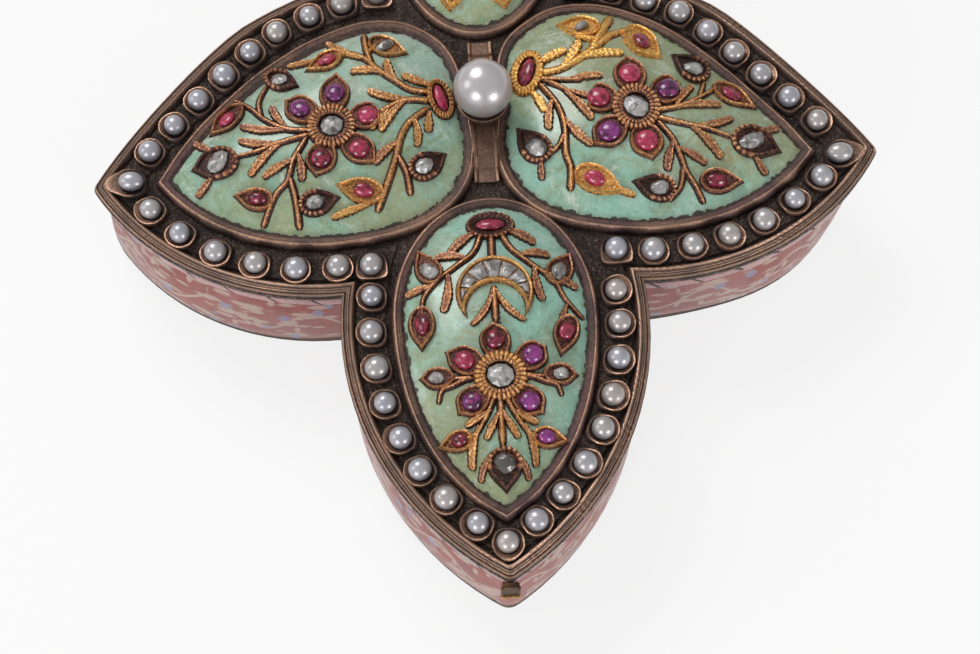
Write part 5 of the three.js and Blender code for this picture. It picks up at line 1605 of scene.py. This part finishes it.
def track_spots():
    """Where the pearls sit: place, way along the border and kind, counter-clockwise from the front tip"""
    loop = lid_outline(mm("track_inset"))
    spots = []
    for k, intervals in enumerate(INTERVALS):
        start = k * FLANK_STEPS
        deepest, part = DRAWN_IN.get(k, (0, 1))
        depths = [0] * len(loop)
        depths[start:start + FLANK_STEPS] = [sag(k, i / FLANK_STEPS, deepest, part)
            for i in range(FLANK_STEPS)]
        moved = inset(loop, depths)
        path = (moved + moved[:1])[start:start + FLANK_STEPS + 1]
        line = even_points(path, intervals)
        if k in NUDGES:
            first, last = NUDGES[k]
            fine = even_points(path, intervals * NUDGE_STEPS)
            for i in range(1, intervals):
                nudge = first + (last - first) * i / intervals
                line[i] = fine[round((i + nudge) * NUDGE_STEPS)]
        line[0] = line[0] + Vector(STOP_SHIFTS.get(k, (0, 0)))
        for i, point in enumerate(line[:-1]):
            kind = "plain" if i else ("tip", "corner", "side tip", "corner")[k % 4]
            before = line[i - 1] if i else loop[start - 2]
            way = (line[i + 1] - before).normalized()
            if kind == "corner":
                way = Vector((1, 0))
            spots.append((point, way, kind, SIDES[(k + 1) // 2 % 4]))
    return spots


DROP_REACH = {"tip": 0.18, "side tip": 0.62}
DROP_POWER = 7
UNEVEN = 0.015
OUTLINE_STEPS = 32
ROUND_POWER = 2.1
FLAT_POWER = 3.4
CORNER_POWER = 5


def collar_outline(spot, way, kind, radius, draw):
    """A rounded D whose flat side looks inwards; square at the corners, a drop at the side tips"""
    outward = -left_of(way)
    points = []
    for i in range(OUTLINE_STEPS):
        angle = 2 * math.pi * i / OUTLINE_STEPS
        t, n = math.cos(angle), math.sin(angle)
        power = CORNER_POWER if kind == "corner" else ROUND_POWER if n >= 0 else FLAT_POWER
        reach = radius * (abs(t) ** power + abs(n) ** power) ** (-1 / power)
        reach *= 1 + draw.uniform(-UNEVEN, UNEVEN)
        if n > 0 and kind in DROP_REACH:
            reach *= 1 + DROP_REACH[kind] * n ** DROP_POWER
        points.append(spot + way * (t * reach) + outward * (n * reach))
    return points


SEAT_GAP = 0.08
LIP_WIDTH = 0.15
LIP_SHARE = (0.5, 0.92)
LIP_LOW = 0.66
LIP_SHADES = (0, 0.25, 0.62, 1.2, 1.3, 0.86, 0.76, 0.2)
INWARD_WEAR = 0.46
PLAIN_GLOSS = {"corner": 0.68, "side tip": 0.68}


def build_collars(spots, ground, draw):
    """Cups whose thin lips stand high outwards and sink into the ground inwards"""
    bm = new_mesh()
    relief, row, place = [layer(bm, name) for name in ("relief", "row", "place")]
    for spot, way, kind, _ in spots:
        edge = collar_outline(spot, way, kind, mm("collar_radius") * draw.uniform(1, 1.06), draw)
        height = LIP_HEIGHT * draw.uniform(0.93, 1.08)
        opening = mm("pearl_radius") + SEAT_GAP
        outward = -left_of(way)
        rise = [min(max(((p - spot).normalized().dot(outward) + 0.75) / 1.35, 0), 1) for p in edge]
        rise = [r * r * (3 - 2 * r) for r in rise]
        mouth = [spot + (p - spot).normalized() * opening for p in edge]
        lip = [m.lerp(e, LIP_SHARE[0] + (LIP_SHARE[1] - LIP_SHARE[0]) * r)
            for m, e, r in zip(mouth, edge, rise)]
        tops = [ground + height * (LIP_LOW + (1 - LIP_LOW) * r) for r in rise]
        outer = [p.lerp(e, 0.55) for p, e in zip(lip, edge)]
        ledge = [p + (m - p).normalized() * LIP_WIDTH for p, m in zip(lip, mouth)]
        inner = [m.lerp(p, 0.62) for m, p in zip(mouth, lip)]
        rings = [at_height(inset(edge, -0.14), ground - 0.1), at_height(inset(edge, -0.05), ground + 0.16)]
        for line, drop in ((outer, 0.2), (lip, 0), (ledge, 0.01), (inner, 0.07), (mouth, 0.22)):
            rings.append([Vector((*p, z - drop)) for p, z in zip(line, tops)])
        rings.append(at_height([spot + (p - spot) * 0.8 for p in mouth], ground + 0.25))
        before = len(bm.verts)
        sweep(bm, rings, cap_end=True)
        for vert in points_after(bm, before):
            wear = INWARD_WEAR + (1 - INWARD_WEAR) * rise[vert[place]]
            vert[relief] = LIP_SHADES[vert[row]] * wear * PLAIN_GLOSS.get(kind, 1)
    return bm


def build_pearls(spots, ground, draw):
    """Pearls of slightly uneven size, shape and tint; those at the side tips are oval"""
    bm = new_mesh()
    tint = layer(bm, "tint")
    for spot, _, kind, _ in spots:
        radius = mm("pearl_radius") * draw.uniform(0.92, 1.05)
        centre = spot + Vector((draw.uniform(-0.08, 0.08), draw.uniform(-0.08, 0.08)))
        turn = Matrix.Rotation(draw.uniform(0, 3.14), 4, "Z")
        shape = turn @ Matrix.Diagonal((radius * draw.uniform(0.95, 1.05), radius, radius * PEARL_SQUASH, 1))
        if kind == "side tip":
            shape = Matrix.Diagonal([radius * share for share in SIDE_TIP_PEARL]).to_4x4()
        place = Matrix.Translation((*centre, ground + PEARL_LIFT)) @ shape
        pearl = bmesh.ops.create_uvsphere(bm, u_segments=24, v_segments=14, radius=1, matrix=place)["verts"]
        shade = draw.random() ** 2
        # each pearl's height share, which sets its painted shade towards the seat
        set_relief(bm, ground + PEARL_LIFT - radius, ground + PEARL_LIFT + radius, pearl)
        for vert in pearl:
            vert[tint] = shade
    return bm


def build_bed(ground):
    """Strip under all the pearls, raised at both edges"""
    track, half = mm("track_inset"), mm("bed_width") / 2
    bm = new_mesh()
    rise = [(half, ground), (half - 0.1, ground + BED_HEIGHT), (half - 0.35, ground + BED_HEIGHT + 0.06),
        (half - 0.6, ground + BED_HEIGHT - BED_DIP)]
    section = [(-reach, z) for reach, z in rise] + rise[::-1]
    lid_band(bm, [(track + reach, z) for reach, z in section])
    set_relief(bm, ground, ground + BED_HEIGHT)
    return bm


# Middle of the lid

STRAP_THICK = 0.8

# Half of the strap's path from its end, as length and height; None stands for the height under its top face
STRAP_PATH = ((0, 0), (1.6, 0), (2.3, 0.4), (3.3, 1.15), (4, None))

# Half of the strap's section: share of the half width, and share of the thickness
STRAP_SECTION = ((1, 0), (1, 0.75), (0.93, 0.97), (0.8, 1), (0.68, 0.9), (0.62, 0.72))


def build_strap():
    """Strap with a raised wire along each edge"""
    low, high = span("strap")
    middle, half = (low.x + high.x) / 2, (high.x - low.x) / 2
    heights = [high.z - STRAP_THICK if rise is None else low.z + rise for _, rise in STRAP_PATH]
    path = [Vector((low.y + run, z)) for (run, _), z in zip(STRAP_PATH, heights)]
    path += [Vector((high.y - run, z)) for (run, _), z in reversed([*zip(STRAP_PATH, heights)])]
    section = [(-u, v) for u, v in STRAP_SECTION] + [*reversed(STRAP_SECTION)]
    bm = new_mesh()
    rings = [[Vector((middle + half * u, spot.x, min(spot.y + STRAP_THICK * v, high.z))) for u, v in section]
        for spot in smooth_path(path, 4)]
    sweep(bm, rings, cap_start=True, cap_end=True)
    relief, place = layer(bm, "relief"), layer(bm, "place")
    for vert in bm.verts:
        vert[relief] = section[vert[place]][1]
    return bm


TURNED_STEPS = 64


def turned(centre, profile):
    """A turned piece; the profile lists radius and height"""
    bm = new_mesh()
    verts = [bm.verts.new((centre.x + r, centre.y, z)) for r, z in profile]
    edges = [bm.edges.new(pair) for pair in zip(verts, verts[1:])]
    bmesh.ops.spin(bm, geom=verts + edges, cent=(centre.x, centre.y, 0), axis=(0, 0, 1), dvec=(0, 0, 0),
        angle=2 * math.pi, steps=TURNED_STEPS, use_merge=True, use_duplicate=False)
    return bm


CUP_HEIGHT = 1.62


def build_cup():
    """Open cup with a rolled rim"""
    low, high = span("pearl_cup")
    radius, floor = (high.x - low.x) / 2, low.z
    rim = floor + CUP_HEIGHT
    profile = [(0, floor), (1.5, floor), (1.95, floor + 0.2), (radius - 0.35, rim - 0.5),
        (radius - 0.02, rim - 0.3), (radius, rim - 0.05), (radius - 0.18, rim + 0.02),
        (radius - 0.42, rim - 0.12), (1.6, floor + 0.8), (0, floor + 0.6)]
    bm = turned((low + high) / 2, profile)
    set_relief(bm, floor + 0.4, rim)
    return bm


LUMP_WAVES = 0.35
LUMP_DEPTH = 0.02


def build_large_pearl():
    """A big pearl that is a little uneven"""
    low, high = span("large_pearl")
    radius = (high.x - low.x) / 2
    middle = Vector(((low.x + high.x) / 2, (low.y + high.y) / 2, high.z - radius))
    bm = new_mesh()
    bmesh.ops.create_uvsphere(bm, u_segments=72, v_segments=44, radius=radius,
        matrix=Matrix.Translation(middle))
    # height share over the pearl, which sets its painted shade towards the bottom
    set_relief(bm, high.z - 2 * radius, high.z)
    for vert in bm.verts:
        away = vert.co - middle
        vert.co = middle + away * (1 - abs(noise.noise(away * LUMP_WAVES + Vector((5, 2, 1))) * LUMP_DEPTH))
        vert.co.z = min(vert.co.z, high.z)
    return bm


# Operators

def coppery_bronze():
    return finish_of("coppery bronze", worn_metal, colours().copper, colours().copper_recess, 0.3)


def granulated_bronze():
    return finish_of("granulated bronze", granulated, colours().bronze, colours().bronze_crest)


class JewelledBoxStage(bpy.types.Operator):
    """Adds the floor, the camera and the lamps"""
    bl_idname = "jewelled_box.stage"
    bl_label = "Stage"

    def execute(self, context):
        set_stage()
        return {"FINISHED"}


class JewelledBoxBody(bpy.types.Operator):
    """Adds the foot, the enamelled wall with its wire, and the inner lip"""
    bl_idname = "jewelled_box.body"
    bl_label = "Box"

    def execute(self, context):
        tone = colours()
        low, high = span("base_plate")
        dark = finish_of("foot bronze", worn_metal, shaded(tone.copper, 0.35), tone.bronze, 0.34)
        foot = build_slab(BASE_INSET, low.z, high.z, WALL_ARM, FOOT_BULGE)
        lean(foot, high.z, high.z + 1)
        finish_piece("foot_plate", foot, dark, ["base_plate"], "box")
        finish_piece("enamelled_wall", build_wall(), finish_of("painted enamel", painted_enamel),
            ["box_wall"], "box")
        low, high = span("wall_wire")
        bm = new_mesh()
        lid_band(bm, rounded(WIRE_INSET, WIRE_WIDTH, low.z, high.z), WALL_ARM)
        set_relief(bm, low.z, high.z)
        finish_piece("wall_top_wire", bm, coppery_bronze(), ["wall_wire"], "box")
        low, high = span("inner_lip")
        bm = new_mesh()
        lid_band(bm, rounded(mm("lip_inset"), mm("lip_thickness"), low.z, high.z, fullness=0.1))
        set_relief(bm, low.z, high.z)
        brass = finish_of("brass", worn_metal, tone.brass, tone.copper_recess, 0.32)
        finish_piece("guide_lip", bm, brass, ["inner_lip"], "box")
        return {"FINISHED"}


class JewelledBoxLid(bpy.types.Operator):
    """Adds the lid's skirt, plate and rim"""
    bl_idname = "jewelled_box.lid"
    bl_label = "Lid"

    def execute(self, context):
        tone = colours()
        low, high = span("lid_skirt")
        bm = new_mesh()
        reach, width = mm("skirt_inset") - SKIRT_FLARE, mm("skirt_width")
        tall = high.z - low.z
        lid_band(bm, [(reach + 0.12, low.z), (reach + 0.02, low.z + 0.15 * tall), (reach, low.z + 0.5 * tall),
            (reach + 0.05, low.z + 0.9 * tall), (reach + 0.1, high.z), (reach + width, high.z),
            (reach + width, low.z)], SKIRT_ARM)
        unwrap(bm, soft_outline(reach, SKIRT_ARM))
        finish_piece("enamelled_skirt", bm, finish_of("tiled enamel", tiled_enamel),
            ["lid_skirt"])
        low, high = span("lid_plate")
        finish_piece("lid_ground", build_slab(0, low.z, high.z), granulated_bronze(),
            ["lid_plate"])
        hatched = finish_of("hatched copper", hatched_metal, tone.copper, shaded(tone.copper_recess, 1.5))
        finish_piece("rim_moulding", build_rim(), hatched, ["lid_rim"])
        return {"FINISHED"}


PEARL_SEED = 7


class JewelledBoxPearls(bpy.types.Operator):
    """Adds the borders of seed pearls in their collars"""
    bl_idname = "jewelled_box.pearls"
    bl_label = "Pearl borders"

    def execute(self, context):
        tone = colours()
        ground = span("lid_plate")[1].z
        draw = random.Random(PEARL_SEED)
        nodes = ["pearl_border_" + side for side in SIDES]
        finish_piece("pearl_bed", build_bed(ground), granulated_bronze(), nodes)
        shell = finish_of("seed pearl", nacre, tone.pearl, tone.cream_pearl)
        spots = track_spots()
        for side in SIDES:
            own = [spot for spot in spots if spot[3] == side]
            seat = ground + BED_HEIGHT - BED_DIP
            finish_piece("pearl_collars_" + side, build_collars(own, seat, draw), coppery_bronze(),
                ["pearl_border_" + side])
            finish_piece("seed_pearls_" + side, build_pearls(own, seat, draw), shell,
                ["pearl_border_" + side])
        return {"FINISHED"}


# How blue each stone is, and how much bluer and paler it grows to a millimetre right and back
STONE_LOOKS = {
    "front": (0.7, (0.03, 0.034), (0, 0.006)),
    "left": (0.52, (-0.008, 0.03), (0, 0.034)),
    "right": (0.34, (-0.022, -0.048), (0, 0)),
    "back": (0.5, (0, 0.02), (0, 0)),
}


class JewelledBoxPanels(bpy.types.Operator):
    """Adds the stone panels, their collars and the gold sprays with their stones"""
    bl_idname = "jewelled_box.panels"
    bl_label = "Stone panels and sprays"

    def execute(self, context):
        tone = colours()
        copper = finish_of("panel copper", banded_copper, tone.copper, tone.copper_recess)
        drawings = {"front": draw_front, "left": draw_left, "right": draw_right, "back": draw_back}
        for side in SIDES:
            panel = Panel(side)
            finish_piece("panel_band_" + side, build_collar(panel), copper,
                ["panel_collar_" + side])
            green = finish_of("mint stone " + side, mint_stone, panel.middle, *STONE_LOOKS[side])
            finish_piece("stone_" + side, build_stone(panel), green, ["stone_panel_" + side])
            work = Goldwork(panel)
            drawings[side](work)
            nodes = {"diamond": ["flower_diamond_" + side]}
            if side != "back":
                nodes["ruby"] = ["oval_ruby_" + side]
            work.finish(["gold_spray_" + side], nodes)
        return {"FINISHED"}


class JewelledBoxCrown(bpy.types.Operator):
    """Adds the strap, the cup and the large pearl"""
    bl_idname = "jewelled_box.crown"
    bl_label = "Strap and large pearl"

    def execute(self, context):
        tone = colours()
        dark = finish_of("strap bronze", worn_metal, shaded(tone.copper, 0.6), tone.bronze, 0.34)
        finish_piece("strap_with_wires", build_strap(), dark, ["strap"])
        finish_piece("cup", build_cup(), dark, ["pearl_cup"])
        # 0.62 is the strength of the large pearl's painted shade
        shell = finish_of("large pearl", nacre, tone.large_pearl, shaded(tone.large_pearl, 1.06), 0.2, 0.62)
        finish_piece("middle_pearl", build_large_pearl(), shell, ["large_pearl"])
        return {"FINISHED"}


def add_rod(bm, centre, radius, length, axis, segments=24):
    """A rod with softened ends, along x or z"""
    turn = Matrix.Rotation(math.pi / 2, 4, "Y") if axis == "x" else Matrix.Identity(4)
    place = Matrix.Translation(centre) @ turn
    made_verts = bmesh.ops.create_cone(bm, cap_ends=True, segments=segments, radius1=radius, radius2=radius,
        depth=length, matrix=place)["verts"]
    rims = [e for e in bm.edges if e.verts[0] in made_verts and len(e.link_faces) == 2
        and any(len(f.verts) > 4 for f in e.link_faces)]
    bmesh.ops.bevel(bm, geom=rims, offset=radius * 0.25, affect="EDGES", segments=3, profile=0.5, material=-1)


TONGUE_RISE = 1.1
TONGUE_ROLL = 0.38
TONGUE_FRONT = 0.5
TONGUE_EDGE = 0.08
SIDE_ROD = 0.18


def build_tongue():
    """Tongue of the clasp with a roll at its end and a thin rod at each side"""
    low, high = span("clasp_tongue")
    bm = new_mesh()
    half = (high.x - low.x) / 2
    front, back = low.y + TONGUE_FRONT, high.y
    foot = low.z + TONGUE_RISE
    size = (2 * half - 0.3, back - front, high.z - foot - TONGUE_ROLL, 1)
    middle = Vector((0, (front + back) / 2, (foot + TONGUE_ROLL + high.z) / 2))
    plate = bmesh.ops.create_cube(bm, size=1, matrix=Matrix.Translation(middle) @ Matrix.Diagonal(size))
    edges = {e for v in plate["verts"] for e in v.link_edges}
    bmesh.ops.bevel(bm, geom=list(edges), offset=TONGUE_EDGE, affect="EDGES", segments=3, profile=0.5,
        material=-1)
    add_rod(bm, Vector((0, front + 0.1, foot + TONGUE_ROLL)), TONGUE_ROLL, 2 * half - 0.02, "x")
    for hand in (-1, 1):
        spot = Vector((hand * (half - 0.2), front + 0.05, (foot + high.z) / 2 + 0.3))
        add_rod(bm, spot, SIDE_ROD, high.z - foot - 0.9, "z", 16)
    return bm


class JewelledBoxFittings(bpy.types.Operator):
    """Adds the clasp's tongue and gives the hinge and the catch their metal"""
    bl_idname = "jewelled_box.fittings"
    bl_label = "Hinge and clasp"

    def execute(self, context):
        tone = colours()
        copper = finish_of("fitting copper", fitting_metal, tone.copper, tone.copper_recess)
        brass = finish_of("fitting brass", fitting_metal, tone.brass, tone.copper_recess)
        # the tongue is painted dark above the top of its roll: a painted shadow of the lid
        roll_top = span("clasp_tongue")[0].z + TONGUE_RISE + 2 * TONGUE_ROLL
        tongue = finish_of("tongue metal", fitting_metal, tone.bright_gold, shaded(tone.gold_recess, 1.3),
            roll_top)
        finish_piece("rolled_tongue", build_tongue(), tongue, ["clasp_tongue"])
        finishes = {"hinge_leaf_box": copper, "hinge_leaf_lid": copper, "hinge_pin": brass,
            "clasp_catch": brass}
        for node, finish in finishes.items():
            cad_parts[node].data.materials[0] = finish
        return {"FINISHED"}


def fitting_metal(name, crest, recess, shadow_height=None):
    """Metal with wear and scratches; where a height is given, painted shadow darkens it above that height, so
    it is bright only below
    """
    paint = Paint(name)
    patches = paint.noise(0.5, 5, 0.6)
    fine = paint.noise(3, 4, 0.65)
    shine = (patches * 0.8 + fine * 0.4).step(0.35, 0.8)
    # painted shadow: the metal above the height keeps little of its shine
    if shadow_height is not None:
        up = paint.split(paint.coordinates())[2]
        above = (up + (fine - 0.5) * 0.6).step(shadow_height - 0.3, shadow_height + 0.1)
        shine = shine * (0.08 + 0.92 * (1 - above))
    base = paint.mix(shine, recess, crest)
    return paint.surface(base, 0.5 - shine * 0.2, 0.85, paint.bump(fine, 0.4, 0.1))


LOOK_AT = Vector((-0.72, -28.85, 17.4))
DISTANCE = 240.1
ELEVATION = math.radians(67)
YAW = math.radians(-2.2)
ROLL = math.radians(-0.9)
LENS = 71.3
SENSOR = 36


def add_camera():
    """Camera at the photograph's angle"""
    back = Vector((math.sin(YAW) * math.cos(ELEVATION), -math.cos(YAW) * math.cos(ELEVATION),
        math.sin(ELEVATION)))
    right = Vector((math.cos(YAW), math.sin(YAW), 0))
    up = back.cross(right)
    tilted_right = right * math.cos(ROLL) + up * math.sin(ROLL)
    tilted_up = up * math.cos(ROLL) - right * math.sin(ROLL)
    data = bpy.data.cameras.new("camera")
    data.lens = LENS
    data.sensor_width = SENSOR
    data.clip_start = 0.01
    camera = bpy.data.objects.new("camera", data)
    turn = Matrix((tilted_right, tilted_up, back)).transposed().to_4x4()
    camera.matrix_world = Matrix.Translation((LOOK_AT + back * DISTANCE) * MM) @ turn
    bpy.context.scene.collection.objects.link(camera)
    bpy.context.scene.camera = camera


# Lamps: name, power in watts, size and place in metres; all look at the middle of the box
LAMPS = (
    ("front left lamp", 2.9, 0.44, (-0.48, -0.8, 0.34)),
    ("front right lamp", 2.6, 0.36, (0.62, -0.72, 0.24)),
    ("top lamp", 4.6, 0.55, (-0.34, 0.6, 0.8)),
    ("left lamp", 1, 0.4, (-0.8, 0, 0.45)),
)
LAMP_TARGET = Vector((0, 0, 0.01))
WORLD_LIGHT = 0.34
FLOOR_SIZE = 6


def add_lamp(name, power, size, place):
    """A round soft lamp"""
    data = bpy.data.lights.new(name, "AREA")
    data.shape = "DISK"
    data.energy = power
    data.size = size
    lamp = bpy.data.objects.new(name, data)
    lamp.location = place
    lamp.rotation_euler = (LAMP_TARGET - Vector(place)).to_track_quat("-Z", "Y").to_euler()
    bpy.context.scene.collection.objects.link(lamp)
    return lamp


def white_floor(name):
    """Pale floor that looks white to the camera and in reflections, and keeps a faint shadow"""
    paint = Paint(name)
    rays = paint.node("ShaderNodeLightPath").outputs
    camera, glossy, through = [Value(paint, rays[f"Is {kind} Ray"])
        for kind in ("Camera", "Glossy", "Transmission")]
    seen = (camera + glossy + through).clamp()
    pale = paint.node("ShaderNodeBsdfPrincipled", None, {"Base Color": (0.92, 0.92, 0.92), "Roughness": 0.8})
    glow = paint.node("ShaderNodeEmission", None, {"Color": (1, 1, 1), "Strength": 1})
    mixed = paint.node("ShaderNodeMixShader", None, {0: seen * 0.8, 1: pale.outputs[0], 2: glow.outputs[0]})
    paint.node("ShaderNodeOutputMaterial", None, {"Surface": mixed.outputs[0]})
    return paint.material


def set_stage():
    """Pale floor and soft light from the front and above"""
    scene = bpy.context.scene
    scene.view_settings.view_transform = "Standard"
    bm = bmesh.new()
    bmesh.ops.create_grid(bm, x_segments=8, y_segments=8, size=FLOOR_SIZE)
    mesh = bpy.data.meshes.new("floor")
    bm.to_mesh(mesh)
    bm.free()
    floor = bpy.data.objects.new("floor", mesh)
    scene.collection.objects.link(floor)
    mesh.materials.append(white_floor("pale floor"))
    add_camera()
    lamps = [add_lamp(*settings) for settings in LAMPS]
    world = bpy.data.worlds.new("world")
    scene.world = world
    world.use_nodes = True
    colour_input, strength_input = world.node_tree.nodes["Background"].inputs[:2]
    colour_input.default_value = (1, 1, 1, 1)
    strength_input.default_value = WORLD_LIGHT


OPERATORS = (JewelledBoxStage, JewelledBoxBody, JewelledBoxLid, JewelledBoxPearls, JewelledBoxPanels,
    JewelledBoxCrown, JewelledBoxFittings)


class JewelledBoxSidebar(bpy.types.Panel):
    """Lists the steps in the sidebar"""
    bl_idname = "VIEW3D_PT_jewelled_box"
    bl_label = "Jewelled Box"
    bl_space_type = "VIEW_3D"
    bl_region_type = "UI"
    bl_category = "Jewelled Box"

    def draw(self, context):
        for step in OPERATORS:
            self.layout.operator(step.bl_idname)


CLASSES = (JewelledBoxSizes, JewelledBoxColours, *OPERATORS, JewelledBoxSidebar)


def register():
    for item in CLASSES:
        bpy.utils.register_class(item)
    bpy.types.Scene.jewelled_box_sizes = bpy.props.PointerProperty(type=JewelledBoxSizes)
    bpy.types.Scene.jewelled_box_colours = bpy.props.PointerProperty(type=JewelledBoxColours)


def unregister():
    del bpy.types.Scene.jewelled_box_colours
    del bpy.types.Scene.jewelled_box_sizes
    for item in reversed(CLASSES):
        bpy.utils.unregister_class(item)


def main():
    register()
    for step in OPERATORS:
        category, name = step.bl_idname.split(".")
        getattr(getattr(bpy.ops, category), name)()


if __name__ == "__main__":
    main()
